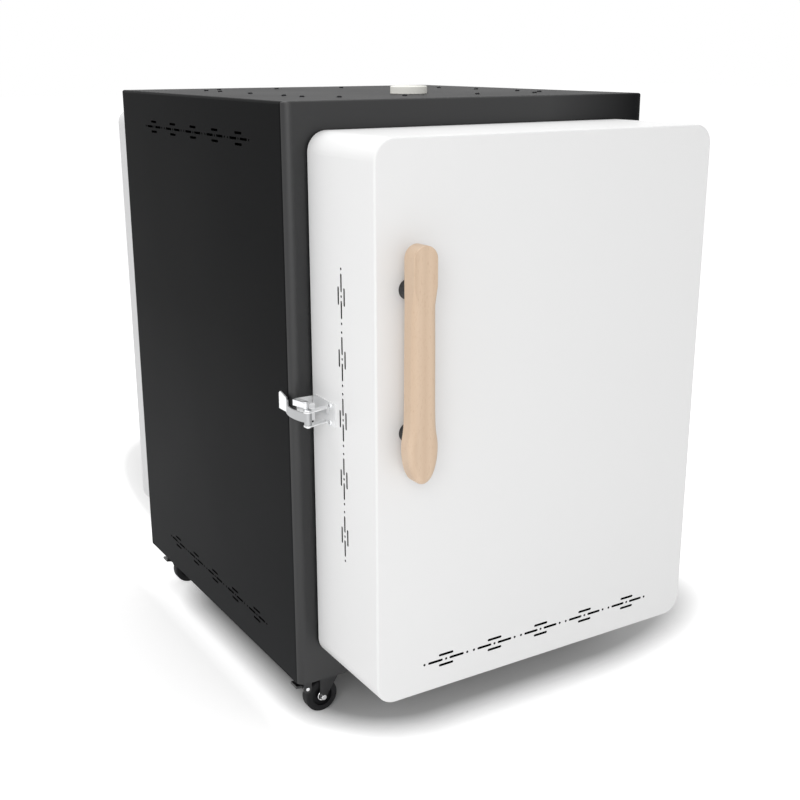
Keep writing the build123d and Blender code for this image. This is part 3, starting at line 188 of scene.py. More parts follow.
def powder_coat(
    name, colour, roughness, grain=900.0, mottle=0.06, depth=0.00006, specular=0.5, shaded_slot_walls=()
):
    """A powder coat of a colour, with painted shade, near-black, on the walls of slots given as boxes.
    """
    material, tree, shader, place = start_material(name, specular=specular)
    coat = tree.nodes.new("ShaderNodeGroup")
    coat.node_tree = coat_group
    coat.inputs["Colour"].default_value = (*colour, 1.0)
    coat.inputs["Roughness"].default_value = roughness
    coat.inputs["Grain"].default_value = grain
    coat.inputs["Mottle"].default_value = mottle
    tree.links.new(place, coat.inputs["Vector"])
    painted = coat.outputs["Colour"]
    # Painted shade on the walls of the slots.
    for centre, half in shaded_slot_walls:
        in_shaded_slot_wall = box_mask(tree, place, centre, half, True)
        painted = mix_colour(tree, in_shaded_slot_wall, painted, slot_wall_shade_colour)
    tree.links.new(painted, shader.inputs["Base Color"])
    tree.links.new(coat.outputs["Roughness"], shader.inputs["Roughness"])
    bump(tree, shader, coat.outputs["Height"], depth)
    return material


def dress(material, *names):
    """Gives CAD nodes a material."""
    for name in names:
        mesh = nodes[name].data
        mesh.materials.clear()
        mesh.materials.append(material)


anthracite = powder_coat("anthracite_coat", (0.0080, 0.0082, 0.0086), 0.44, specular=0.012)
# The lid's coat: a copy of the same paint, a shade lighter and glossier, which is painted light on the
# top.
anthracite_lit_lid = powder_coat("lid_anthracite_lit_copy", (0.0085, 0.0087, 0.0091), 0.40, specular=0.026)
# The front faces' coat: a lighter copy of the same paint, which is painted light.
anthracite_lit_front = powder_coat("front_anthracite_lit_copy", (0.0100, 0.0102, 0.0108), 0.44, specular=0.03)
dress(anthracite, "cabinet_jacket", "base_pan", "rear_panel")
dress(anthracite_lit_lid, "top_panel")

# The jacket's sides get lighter towards the floor: painted light of the floor's bounce. The faces
# turned to the front take a lighter copy of the coat with a painted sheen, strongest on the latch's
# side.
side_tree = anthracite.node_tree
side_shader = side_tree.nodes["Principled BSDF"]
side_place = side_tree.nodes["Texture Coordinate"].outputs["Object"]
# Painted light: the base colour is raised towards the floor.
painted_bounce_gain = map_range(side_tree, coordinates(side_tree, side_place)["Z"], 0.10, 0.62, 2.4, 0.95)
bounce_lit_colour = side_tree.nodes.new("ShaderNodeVectorMath")
bounce_lit_colour.operation = "SCALE"
side_tree.links.new(side_shader.inputs["Base Color"].links[0].from_socket, bounce_lit_colour.inputs[0])
side_tree.links.new(painted_bounce_gain, bounce_lit_colour.inputs["Scale"])
side_tree.links.new(bounce_lit_colour.outputs[0], side_shader.inputs["Base Color"])
front_tree = anthracite_lit_front.node_tree
front_shader = front_tree.nodes["Principled BSDF"]
front_shader.inputs["Coat Roughness"].default_value = 0.44
front_place = front_tree.nodes["Texture Coordinate"].outputs["Object"]
# Painted sheen: the coat fades out from the latch's side across the front.
sheen = map_range(front_tree, coordinates(front_tree, front_place)["X"], 0.13, 0.31, 1.0, 0.0)
front_tree.links.new(sheen, front_shader.inputs["Coat Weight"])
# Faces turned to the front take the lighter copy with its painted sheen.
front_slot = 1
for name, turned in (("cabinet_jacket", -0.32), ("top_panel", -0.25)):
    sheet_mesh = nodes[name].data
    sheet_mesh.materials.append(anthracite_lit_front)
    for face in sheet_mesh.polygons:
        if face.normal.y < turned and abs(face.normal.z) < 0.9:
            face.material_index = front_slot

# Slots of the jacket: punched in two rows on each side. Their walls get a near-black
# material, which is painted shade, as they lie deep in the sheet.
# Painted shade for the walls of the slots, near-black with a faint speckle.
jacket_slot_wall_shade, tree, shader, place = start_material("jacket_slot_wall_painted_shade", specular=0.05)
shader.inputs["Roughness"].default_value = 0.9
wall_speckle = noise(tree, place, 800.0, 2.0)
speckled_shade = mix_colour(tree, wall_speckle, (0.0015, 0.0015, 0.0015), (0.003, 0.003, 0.003))
tree.links.new(speckled_shade, shader.inputs["Base Color"])
slot_row_heights = (0.1375, 0.9205)
slot_row_half_height = 0.014
slot_row_end_y = 0.25
jacket_inner_x = 0.3292
shaded_wall_slot = 2
jacket_mesh = nodes["cabinet_jacket"].data
jacket_mesh.materials.append(jacket_slot_wall_shade)
for face in jacket_mesh.polygons:
    in_row = any(abs(face.center.z - row_z) < slot_row_half_height for row_z in slot_row_heights)
    in_wall = abs(face.center.x) > jacket_inner_x and abs(face.center.y) < slot_row_end_y
    if in_row and in_wall and abs(face.normal.x) < 0.5:
        face.material_index = shaded_wall_slot

# Door and rear cover: the same sheet, coated white and a shade greyer behind. The coat is
# smoother than the cabinet's. The walls of the slots are near-black: painted shade, as they lie in
# shadow.
door_front_row = ((0.0, -0.5100, 0.173), (0.222, 0.0122, 0.0118))
door_side_row = ((0.2860, -0.4304, 0.542), (0.0113, 0.0118, 0.222))
cover_low_row = ((0.0, 0.4530, 0.197), (0.222, 0.0058, 0.0118))
cover_high_row = ((0.0, 0.4530, 0.869), (0.222, 0.0058, 0.0118))
white_coat = powder_coat(
    "white_coat", (0.84, 0.84, 0.84), 0.42, grain=700.0, mottle=0.012, depth=0.00003,
    shaded_slot_walls=[door_front_row, door_side_row],
)
cover_coat = powder_coat(
    "cover_coat", (0.66, 0.66, 0.665), 0.45, grain=700.0, mottle=0.015, depth=0.00003,
    shaded_slot_walls=[cover_low_row, cover_high_row],
)
dress(white_coat, "door_shell", "door_back_frame")
dress(cover_coat, "rear_cover")

# Firebricks: porous insulating brick, sawn flat, cream with rusty freckles. They are dry laid
# in courses, so fine joints show on the walls of the chamber and on the door's plug.
def ramp(tree, factor, stops):
    """A colour ramp through (position, grey) stops."""
    made = tree.nodes.new("ShaderNodeValToRGB")
    elements = made.color_ramp.elements
    while len(elements) < len(stops):
        elements.new(0.5)
    for element, (position, grey) in zip(elements, stops):
        element.position = position
        element.color = (grey, grey, grey, 1.0)
    tree.links.new(factor, made.inputs["Fac"])
    return made.outputs["Color"]


pore_group, pore_in, pore_out = new_group(
    "brick_pores",
    [("Vector", "NodeSocketVector", (0, 0, 0)), ("Scale", "NodeSocketFloat", 220.0)],
    [("Freckles", "NodeSocketFloat"), ("Pores", "NodeSocketFloat"), ("Cloud", "NodeSocketFloat")],
)
pore_cells = node(pore_group, "ShaderNodeTexVoronoi", feature="F1")
pore_group.links.new(pore_in.outputs["Vector"], pore_cells.inputs["Vector"])
pore_group.links.new(pore_in.outputs["Scale"], pore_cells.inputs["Scale"])
pore_depth = ramp(pore_group, pore_cells.outputs["Distance"], [(0.0, 0.0), (0.42, 1.0)])
pore_group.links.new(pore_depth, pore_out.inputs["Pores"])
freckle = noise(pore_group, pore_in.outputs["Vector"], 170.0, 2.0)
pore_group.links.new(ramp(pore_group, freckle, [(0.60, 0.0), (0.72, 1.0)]), pore_out.inputs["Freckles"])
pore_group.links.new(noise(pore_group, pore_in.outputs["Vector"], 14.0, 4.0), pore_out.inputs["Cloud"])


def brick_material(name, across, up):
    """Firebrick with courses in the plane of two of the object's axes."""
    material, tree, shader, place = start_material(name, specular=0.2)
    shader.inputs["Roughness"].default_value = 0.92
    apart = coordinates(tree, place)
    flat = tree.nodes.new("ShaderNodeCombineXYZ")
    tree.links.new(apart[across], flat.inputs[0])
    tree.links.new(apart[up], flat.inputs[1])
    courses = node(
        tree, "ShaderNodeTexBrick", offset=0.5, in_Scale=1.0, in_Mortar_Size=0.0011,
        in_Mortar_Smooth=0.25, in_Brick_Width=0.230, in_Row_Height=0.1145, in_Bias=0.0,
    )
    courses.inputs["Color1"].default_value = (0.80, 0.71, 0.56, 1)
    courses.inputs["Color2"].default_value = (0.75, 0.655, 0.50, 1)
    courses.inputs["Mortar"].default_value = (0.46, 0.38, 0.27, 1)
    tree.links.new(flat.outputs[0], courses.inputs["Vector"])
    pores = tree.nodes.new("ShaderNodeGroup")
    pores.node_tree = pore_group
    tree.links.new(place, pores.inputs["Vector"])
    cloud = math_node(tree, "MULTIPLY", pores.outputs["Cloud"], 0.35)
    clouded = mix_colour(tree, cloud, courses.outputs["Color"], (0.86, 0.80, 0.68))
    freckles = math_node(tree, "MULTIPLY", pores.outputs["Freckles"], 0.45)
    freckled = mix_colour(tree, freckles, clouded, (0.50, 0.33, 0.18))
    tree.links.new(freckled, shader.inputs["Base Color"])
    joint_drop = math_node(tree, "MULTIPLY", courses.outputs["Fac"], -2.5)
    relief = math_node(tree, "ADD", pores.outputs["Pores"], joint_drop)
    bump(tree, shader, relief, 0.0006, 0.8)
    return material


brick_facing_front = brick_material("firebrick_front", 0, 2)
brick_facing_side = brick_material("firebrick_side", 1, 2)
brick_lying = brick_material("firebrick_flat", 0, 1)
dress(brick_facing_front, "back_wall_bricks", "door_bricks")
dress(brick_facing_side, "side_wall_bricks")
dress(brick_lying, "floor_bricks", "roof_bricks")

# Fibre boards and the door's gasket: pressed mineral fibre, near-black outside a core, which is
# painted shade seen through the slots, and a flat woven tape glued round the door's plug.
def fibre_board(name, core):
    """Fibre board that is near-black outside its core, a box given as centre and half size; the
    near-black is painted shade seen through the slots.
    """
    material, tree, shader, place = start_material(name, specular=0.03)
    shader.inputs["Roughness"].default_value = 0.95
    felt = noise(tree, place, 420.0, 5.0, 0.7)
    pressed = mix_colour(tree, felt, (0.70, 0.68, 0.62), (0.86, 0.85, 0.80))
    inside = box_mask(tree, place, core[0], core[1])
    # Painted shade: near-black outside the core, where the board shows through the slots.
    painted_slot_shade = mix_colour(tree, inside, (0.002, 0.002, 0.002), pressed)
    tree.links.new(painted_slot_shade, shader.inputs["Base Color"])
    bump(tree, shader, felt, 0.0004)
    return material


cabinet_board = fibre_board("cabinet_fibre_board", ((0.0, 0.0, 0.5), (0.3135, 0.5, 0.8)))
door_board = fibre_board("door_fibre_board", ((0.0, -0.4, 0.5), (0.2935, 0.1083, 0.8)))
dress(cabinet_board, "fibre_backing")
dress(door_board, "door_backing")

tape, tree, shader, place = start_material("woven_fibre_tape", specular=0.15)
shader.inputs["Roughness"].default_value = 0.93
weave_turns = 2 * math.pi / 0.0032
weave_place = coordinates(tree, place)
warp = math_node(tree, "SINE", math_node(tree, "MULTIPLY", weave_place["X"], weave_turns), 0)
weft = math_node(tree, "SINE", math_node(tree, "MULTIPLY", weave_place["Z"], weave_turns), 0)
weave = math_node(tree, "MULTIPLY", warp, weft)
weave_grey = math_node(tree, "ADD", math_node(tree, "MULTIPLY", weave, 0.5), 0.5)
woven = mix_colour(tree, weave_grey, (0.60, 0.58, 0.52), (0.80, 0.79, 0.74))
tree.links.new(woven, shader.inputs["Base Color"])
bump(tree, shader, weave, 0.0005)
dress(tape, "door_gasket")

# Heating elements: resistance wire wound into tight coils, laid in the grooves of both side
# walls and bent back at the front. Each pair of tails leaves through bushes in the back wall.
wire, tree, shader, place = start_material("oxidised_wire", metallic=0.75)
scale_noise = noise(tree, place, 500.0, 3.0)
oxidised = mix_colour(tree, scale_noise, (0.11, 0.095, 0.085), (0.24, 0.21, 0.19))
tree.links.new(oxidised, shader.inputs["Base Color"])
tree.links.new(ramp(tree, scale_noise, [(0.3, 0.45), (0.7, 0.75)]), shader.inputs["Roughness"])
dress(wire, "heating_elements")

coil_radius = 0.0055
wire_radius = 0.00085
coil_pitch = 0.0052
turn_steps = 10
swell_steps = 20.0
element_x = 0.204
element_pitch = 0.066
element_rows = 8
chamber_middle_z = 0.533
chamber_back_y = 0.196
element_front_y = -0.274
tail_end_y = 0.364
first_row_z = chamber_middle_z - element_pitch * (element_rows - 1) / 2
bend_radius = element_pitch / 2
bend_y = element_front_y + bend_radius


def hairpin_point(distance, low_z):
    """Centre of the coil at a distance along a hairpin, with its direction, in Y and Z."""
    straight = chamber_back_y - bend_y
    bend = math.pi * bend_radius
    if distance < straight:
        return chamber_back_y - distance, low_z, -1.0, 0.0
    if distance < straight + bend:
        angle = (distance - straight) / bend_radius
        y = bend_y - bend_radius * math.sin(angle)
        z = low_z + bend_radius - bend_radius * math.cos(angle)
        return y, z, -math.cos(angle), math.sin(angle)
    return bend_y + distance - straight - bend, low_z + element_pitch, 1.0, 0.0


for side, hand in ((-1, "left"), (1, "right")):
    coil_curve = bpy.data.curves.new(f"coil_{hand}", "CURVE")
    coil_curve.dimensions = "3D"
    coil_curve.bevel_depth = wire_radius
    coil_curve.bevel_resolution = 0
    for pair in range(element_rows // 2):
        low_z = first_row_z + 2 * pair * element_pitch
        length = 2 * (chamber_back_y - bend_y) + math.pi * bend_radius
        steps = int(length / coil_pitch * turn_steps)
        points = [(side * element_x, tail_end_y, low_z)]
        for step in range(steps + 1):
            distance = length * step / steps
            y, z, dy, dz = hairpin_point(distance, low_z)
            turn = 2 * math.pi * step / turn_steps
            swell = min(1.0, step / swell_steps, (steps - step) / swell_steps)
            out = coil_radius * swell * math.cos(turn)
            sideways = coil_radius * swell * math.sin(turn)
            points.append((side * element_x + out, y - dz * sideways, z + dy * sideways))
        points.append((side * element_x, tail_end_y, low_z + element_pitch))
        spline = coil_curve.splines.new("POLY")
        spline.points.add(len(points) - 1)
        for place_point, point in zip(spline.points, points):
            place_point.co = (*point, 1.0)
    coil = bpy.data.objects.new(f"element_coils_{hand}", coil_curve)
    bpy.context.scene.collection.objects.link(coil)
    coil_curve.materials.append(wire)
    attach(coil, "cabinet")
    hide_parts("heating_elements")

# Ceramics: the vent plug in the roof, the bushes of the elements and the thermocouple's sheath,
# cast and fired without glaze, cream with a fine sandy surface.
bisque, tree, shader, place = start_material("unglazed_ceramic", specular=0.3)
shader.inputs["Roughness"].default_value = 0.78
sand = noise(tree, place, 700.0, 3.0, 0.6)
sandy = mix_colour(tree, sand, (0.86, 0.85, 0.79), (0.92, 0.915, 0.86))
tree.links.new(sandy, shader.inputs["Base Color"])
bump(tree, shader, sand, 0.00015)
dress(bisque, "vent_plug", "element_bushes", "thermocouple")

# Pull handle: a length of beech, shaped and sanded, with long straight grain that runs up the
# grip, fine flecks across it and a thin wax finish. It is bolted on through two black spacers.
beech, tree, shader, place = start_material("beech_wood", specular=0.35, coat=0.12, coat_roughness=0.35)
stretch = node(tree, "ShaderNodeMapping")
stretch.inputs["Scale"].default_value = (60.0, 60.0, 3.0)
tree.links.new(place, stretch.inputs["Vector"])
grain = noise(tree, stretch.outputs["Vector"], 1.6, 6.0, 0.6)
rings = node(
    tree, "ShaderNodeTexWave", wave_type="BANDS", bands_direction="X", in_Scale=0.35,
    in_Distortion=3.0, in_Detail=3.0, in_Detail_Scale=1.2,
)
tree.links.new(stretch.outputs["Vector"], rings.inputs["Vector"])
fleck_place = node(tree, "ShaderNodeMapping")
fleck_place.inputs["Scale"].default_value = (900.0, 900.0, 180.0)
tree.links.new(place, fleck_place.inputs["Vector"])
flecks = ramp(tree, noise(tree, fleck_place.outputs["Vector"], 1.0, 1.0), [(0.60, 0.0), (0.70, 1.0)])
late_wood = math_node(tree, "MULTIPLY", rings.outputs["Fac"], 0.60)
ringed = mix_colour(tree, late_wood, (0.68, 0.51, 0.37), (0.585, 0.42, 0.288))
grained = mix_colour(tree, math_node(tree, "MULTIPLY", grain, 0.5), ringed, (0.70, 0.55, 0.415))
flecked = mix_colour(tree, math_node(tree, "MULTIPLY", flecks, 0.30), grained, (0.50, 0.32, 0.19))
tree.links.new(flecked, shader.inputs["Base Color"])
tree.links.new(ramp(tree, grain, [(0.3, 0.42), (0.7, 0.56)]), shader.inputs["Roughness"])
bump(tree, shader, grain, 0.00012)
dress(beech, "handle_grip")

# Plastic pieces: spacers, controller housing, door switch and gland in black, and the wiring
# gear in grey. All are moulded with a fine spark texture.
def moulded(name, dark, light, roughness, scale=1100.0, depth=0.00008):
    """Moulded plastic between two shades."""
    material, tree, shader, place = start_material(name, specular=0.45)
    spark = noise(tree, place, scale, 3.0, 0.6)
    tree.links.new(mix_colour(tree, spark, dark, light), shader.inputs["Base Color"])
    uneven = ramp(tree, spark, [(0.2, roughness - 0.06), (0.8, roughness + 0.08)])
    tree.links.new(uneven, shader.inputs["Roughness"])
    bump(tree, shader, spark, depth)
    return material


black_plastic = moulded("black_plastic", (0.012, 0.012, 0.012), (0.020, 0.020, 0.021), 0.50)
grey_plastic = moulded("grey_plastic", (0.20, 0.21, 0.22), (0.26, 0.27, 0.28), 0.55)
key_plastic = moulded("key_plastic", (0.10, 0.10, 0.105), (0.13, 0.13, 0.135), 0.42)
dress(black_plastic, "handle_spacers", "controller_housing", "door_switch", "cable_gland")
dress(grey_plastic, "contactor", "terminal_block")
dress(key_plastic, "button_menu", "button_down", "button_up", "button_start", "power_rocker")

# Marks on the controller's keys and rocker: three bars, two arrowheads up and down, one to the
# front, and a stroke and a ring, all printed in pale grey.
key_tree = key_plastic.node_tree
key_shader = key_tree.nodes["Principled BSDF"]
key_place = key_tree.nodes["Texture Coordinate"].outputs["Object"]
key_parts = coordinates(key_tree, key_place)
key_y, key_z = key_parts["Y"], key_parts["Z"]
key_row_z = 0.768
arrow_length = 0.0040
arrow_spread = 0.62


def wedge_mask(tree, along, across, tip, middle, way):
    """An arrowhead that ends at a tip along one coordinate, pointing up the coordinate for way 1."""
    reach = math_node(tree, "MULTIPLY", math_node(tree, "SUBTRACT", along, tip), -way)
    width = math_node(tree, "MULTIPLY", reach, arrow_spread)
    offset = math_node(tree, "ABSOLUTE", math_node(tree, "SUBTRACT", across, middle), 0.0)
    inside = math_node(tree, "LESS_THAN", offset, width)
    return math_node(tree, "MULTIPLY", inside, math_node(tree, "LESS_THAN", reach, arrow_length))


key_marks = [
    box_mask(key_tree, key_place, (0.355, -0.186, key_row_z + step), (0.002, 0.0023, 0.0003))
    for step in (-0.0015, 0.0, 0.0015)
]
key_marks.append(wedge_mask(key_tree, key_z, key_y, key_row_z - 0.002, -0.162, -1))
key_marks.append(wedge_mask(key_tree, key_z, key_y, key_row_z + 0.002, -0.138, 1))
key_marks.append(wedge_mask(key_tree, key_y, key_z, -0.1118, key_row_z, 1))
key_marks.append(box_mask(key_tree, key_place, (0.355, -0.150, 0.7390), (0.006, 0.0004, 0.0018)))
ring_y = math_node(key_tree, "POWER", math_node(key_tree, "ADD", key_y, 0.150), 2.0)
ring_z = math_node(key_tree, "POWER", math_node(key_tree, "SUBTRACT", key_z, 0.7290), 2.0)
ring_radius = math_node(key_tree, "SQRT", math_node(key_tree, "ADD", ring_y, ring_z), 0.0)
ring_offset = math_node(key_tree, "ABSOLUTE", math_node(key_tree, "SUBTRACT", ring_radius, 0.0016), 0.0)
key_marks.append(math_node(key_tree, "LESS_THAN", ring_offset, 0.0004))
printed = key_marks[0]
for mark in key_marks[1:]:
    printed = math_node(key_tree, "MAXIMUM", printed, mark)
plain_key = key_shader.inputs["Base Color"].links[0].from_socket
marked_key = mix_colour(key_tree, printed, plain_key, (0.78, 0.78, 0.78))
key_tree.links.new(marked_key, key_shader.inputs["Base Color"])

# Display of the controller: a smoked lens with four seven-segment digits on it. The last two
# glow with the room's temperature and the others stay dark.
lens, tree, shader, place = start_material("display_lens", specular=0.6, coat=1.0, coat_roughness=0.04)
smoke = noise(tree, place, 90.0, 2.0)
smoked = mix_colour(tree, smoke, (0.010, 0.012, 0.015), (0.014, 0.017, 0.020))
tree.links.new(smoked, shader.inputs["Base Color"])
tree.links.new(ramp(tree, smoke, [(0.3, 0.08), (0.7, 0.14)]), shader.inputs["Roughness"])
dress(lens, "controller_display")
lit, tree, shader, place = start_material("lit_segments")
shader.inputs["Base Color"].default_value = (0.55, 0.03, 0.01, 1)
shader.inputs["Emission Strength"].default_value = 1.6
glow = noise(tree, place, 400.0, 1.0)
glowing_red = mix_colour(tree, glow, (1.0, 0.10, 0.03), (1.0, 0.16, 0.05))
tree.links.new(glowing_red, shader.inputs["Emission Color"])
dark_segment, tree, shader, place = start_material("dark_segments")
shader.inputs["Roughness"].default_value = 0.4
dust = noise(tree, place, 400.0, 1.0)
unlit = mix_colour(tree, dust, (0.020, 0.012, 0.012), (0.026, 0.016, 0.016))
tree.links.new(unlit, shader.inputs["Base Color"])
cell_width, cell_height, bar = 0.0105, 0.0200, 0.0020
lens_face_x = 0.35302
display_y, display_z = -0.150, 0.814
segments = {
    "top": (0.0, cell_height / 2, False),
    "middle": (0.0, 0.0, False),
    "bottom": (0.0, -cell_height / 2, False),
    "upper_left": (-cell_width / 2, cell_height / 4, True),
    "upper_right": (cell_width / 2, cell_height / 4, True),
    "lower_left": (-cell_width / 2, -cell_height / 4, True),
    "lower_right": (cell_width / 2, -cell_height / 4, True),
}
two = ("top", "upper_right", "middle", "lower_left", "bottom")
nought = ("top", "upper_left", "upper_right", "lower_left", "lower_right", "bottom")
cells = [(-0.0270, ()), (-0.0090, ()), (0.0090, two), (0.0270, nought)]


def small_box(shape, spot, size):
    """Adds a box to a mesh at a spot."""
    place_and_size = Matrix.Translation(Vector(spot)) @ Matrix.Diagonal((*size, 1.0))
    bmesh.ops.create_cube(shape, size=1.0, matrix=place_and_size)


def finished_piece(name, shape, material):
    """Makes an object of a mesh in work, with its material, and adds it to the scene."""
    mesh = bpy.data.meshes.new(name)
    shape.to_mesh(mesh)
    shape.free()
    mesh.materials.append(material)
    piece = bpy.data.objects.new(name, mesh)
    bpy.context.scene.collection.objects.link(piece)
    return piece


for name, glowing, material in (
    ("display_digits_lit", True, lit), ("display_digits_dark", False, dark_segment),
):
    digit_shape = bmesh.new()
    for offset, shown in cells:
        for label, (across, rise, upright) in segments.items():
            if (label in shown) != glowing:
                continue
            length = (cell_height / 2 if upright else cell_width) - 1.4 * bar
            size = (0.00008, bar if upright else length, length if upright else bar)
            spot = (lens_face_x, display_y + offset + across, display_z + rise)
            small_box(digit_shape, spot, size)
    digits = finished_piece(name, digit_shape, material)
    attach(digits, "cabinet")

# Zinc-plated steel: latch, hinges, screws and caster plates, with a soft brushed shine, and the
# polished ends of the caster axles.
def plated(name, dark, light, low, high, scale=300.0, metallic=1.0):
    """Plated metal whose roughness wanders."""
    material, tree, shader, place = start_material(name, metallic=metallic)
    stretched = node(tree, "ShaderNodeMapping")
    stretched.inputs["Scale"].default_value = (1.0, 1.0, 6.0)
    tree.links.new(place, stretched.inputs["Vector"])
    brushed = noise(tree, stretched.outputs["Vector"], scale, 4.0, 0.65)
    tree.links.new(mix_colour(tree, brushed, dark, light), shader.inputs["Base Color"])
    tree.links.new(ramp(tree, brushed, [(0.25, low), (0.75, high)]), shader.inputs["Roughness"])
    bump(tree, shader, brushed, 0.00003)
    return material


zinc = plated("zinc_plate", (0.68, 0.69, 0.70), (0.80, 0.81, 0.82), 0.30, 0.44)
# The latch's base and keeper: a lighter, half-metallic copy of the same plating, which is painted light.
bright_zinc = plated(
    "bright_zinc_plate", (0.76, 0.765, 0.77), (0.86, 0.865, 0.87), 0.34, 0.46, metallic=0.45
)
polished = plated("polished_steel", (0.84, 0.84, 0.85), (0.90, 0.90, 0.91), 0.10, 0.18, scale=150.0)
blackened = plated("blackened_screws", (0.016, 0.016, 0.017), (0.030, 0.030, 0.032), 0.34, 0.50)
dress(blackened, "case_fasteners")
dress(
    zinc, "door_screws", "cabinet_hinge_leaves", "door_hinge_leaves", "hinge_pins",
    "latch_crank_pin", "latch_claw", "caster_plates",
)
dress(bright_zinc, "latch_base", "latch_keeper")

# Latch lever: a strap with the same plating, a little matter, drawn much darker along its length,
# which is painted shade, and with the plating's own brightness on the thumb tab at its end.
shaded_lever_steel = plated("latch_lever_painted_shade", (0.36, 0.365, 0.37), (0.45, 0.455, 0.46), 0.38, 0.52)
lever_tree = shaded_lever_steel.node_tree
lever_shader = lever_tree.nodes["Principled BSDF"]
lever_place = lever_tree.nodes["Texture Coordinate"].outputs["Object"]
strap_shade_colour = lever_shader.inputs["Base Color"].links[0].from_socket
# Painted shade on the strap; the thumb tab keeps the plating's colour.
on_tab = box_mask(lever_tree, lever_place, (-0.340, -0.301, 0.545), (0.030, 0.030, 0.030))
lever_shade_and_tab = mix_colour(lever_tree, on_tab, strap_shade_colour, (0.80, 0.805, 0.81))
lever_tree.links.new(lever_shade_and_tab, lever_shader.inputs["Base Color"])
dress(shaded_lever_steel, "latch_lever")

# Cross recesses of the pan head screws on the roof, the rear cover and the latch: two crossing
# grooves on each head, drawn as thin near-black boxes, which is painted shade.
recess, tree, shader, place = start_material("screw_recess", metallic=0.6)
recess_noise = noise(tree, place, 900.0, 2.0)
recess_shade_colour = mix_colour(tree, recess_noise, (0.003, 0.003, 0.003), (0.010, 0.010, 0.010))
tree.links.new(recess_shade_colour, shader.inputs["Base Color"])
tree.links.new(ramp(tree, recess_noise, [(0.3, 0.55), (0.7, 0.8)]), shader.inputs["Roughness"])
roof_head_z = 0.9812
roof_side_rows = (-0.187, -0.125, 0.0, 0.125, 0.187)
roof_end_rows = (-0.185, -0.069, 0.069, 0.185)
cover_head_x = 0.3037
latch_head_x = -0.3017
groove_depth, groove_width, groove_length = 0.00008, 0.0008, 0.0044
roof_screws = [(side * 0.227, y, roof_head_z) for side in (-1, 1) for y in roof_side_rows]
roof_screws += [(x, way * 0.228, roof_head_z) for way in (-1, 1) for x in roof_end_rows]
cover_screws = [(side * cover_head_x, 0.342, z) for side in (-1, 1) for z in (0.203, 0.533, 0.863)]
latch_screws = [(latch_head_x, -0.396, z) for z in (0.529, 0.555)]
for name, places, thin, body in (
    ("roof_screw_recesses", roof_screws, 2, "cabinet"),
    ("cover_screw_recesses", cover_screws, 0, "cabinet"),
    ("latch_screw_recesses", latch_screws, 0, "door"),
):
    recess_shape = bmesh.new()
    for spot in places:
        for long_axis in (axis for axis in range(3) if axis != thin):
            size = [groove_width, groove_width, groove_width]
            size[thin] = groove_depth
            size[long_axis] = groove_length
            small_box(recess_shape, spot, size)
    recesses = finished_piece(name, recess_shape, recess)
    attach(recesses, body)

# Casters: pressed forks and brake pedals in black enamel, dark grey rubber tyres on black rims,
# bright axle ends, and a turned steel shield on both sides of each wheel's bearing.
enamel = powder_coat(
    "black_enamel", (0.012, 0.012, 0.013), 0.30, grain=1200.0, mottle=0.1, depth=0.00003
)
caster_x, caster_y, axle_height = 0.274, 0.291, 0.028
rim_radius = 0.0176
hub_half_width = 0.0095
tyre, tree, shader, place = start_material("tyre_rubber", specular=0.2)
scuff = noise(tree, place, 160.0, 5.0, 0.65)
rubber = mix_colour(tree, scuff, (0.008, 0.008, 0.009), (0.017, 0.017, 0.018))
wheel_place = coordinates(tree, place)
unsigned_x = math_node(tree, "ABSOLUTE", wheel_place["X"], 0.0)
wheel_across = math_node(tree, "SUBTRACT", unsigned_x, caster_x)
wheel_up = math_node(tree, "SUBTRACT", wheel_place["Z"], axle_height)
across_square = math_node(tree, "POWER", wheel_across, 2.0)
up_square = math_node(tree, "POWER", wheel_up, 2.0)
from_axle = math_node(tree, "SQRT", math_node(tree, "ADD", across_square, up_square), 0.0)
rim = math_node(tree, "LESS_THAN", from_axle, rim_radius)
tree.links.new(mix_colour(tree, rim, rubber, (0.006, 0.006, 0.007)), shader.inputs["Base Color"])
tree.links.new(ramp(tree, scuff, [(0.3, 0.55), (0.7, 0.72)]), shader.inputs["Roughness"])
bump(tree, shader, scuff, 0.0001)
shield_profile = [
    (0.0062, 0.0), (0.0062, 0.0007), (0.0070, 0.0010), (0.0078, 0.0010), (0.0083, 0.0006), (0.0083, 0.0),
]
corners = [f"{end}_{hand}" for end in ("front", "rear") for hand in ("left", "right")]
for corner in corners:
    dress(enamel, f"{corner}_fork", f"{corner}_brake_pedal")
    dress(tyre, f"{corner}_wheel")
    dress(polished, f"{corner}_axle")
    side_x = caster_x if corner.endswith("right") else -caster_x
    end_y = -caster_y if corner.startswith("front") else caster_y
    shield_shape = bmesh.new()
    for way in (-1, 1):
        face_y = end_y + way * hub_half_width
        ring = [
            shield_shape.verts.new((side_x + radius, face_y + way * rise, axle_height))
            for radius, rise in shield_profile
        ]
        edges = [shield_shape.edges.new((a, b)) for a, b in zip(ring, ring[1:] + ring[:1])]
        bmesh.ops.spin(
            shield_shape, geom=ring + edges, cent=(side_x, end_y, axle_height), axis=(0, 1, 0),
            angle=2 * math.pi, steps=48, use_merge=True,
        )
    bmesh.ops.recalc_face_normals(shield_shape, faces=shield_shape.faces)
    shields = finished_piece(f"{corner}_bearing_shields", shield_shape, polished)
    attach(shields, f"{corner}_wheel")

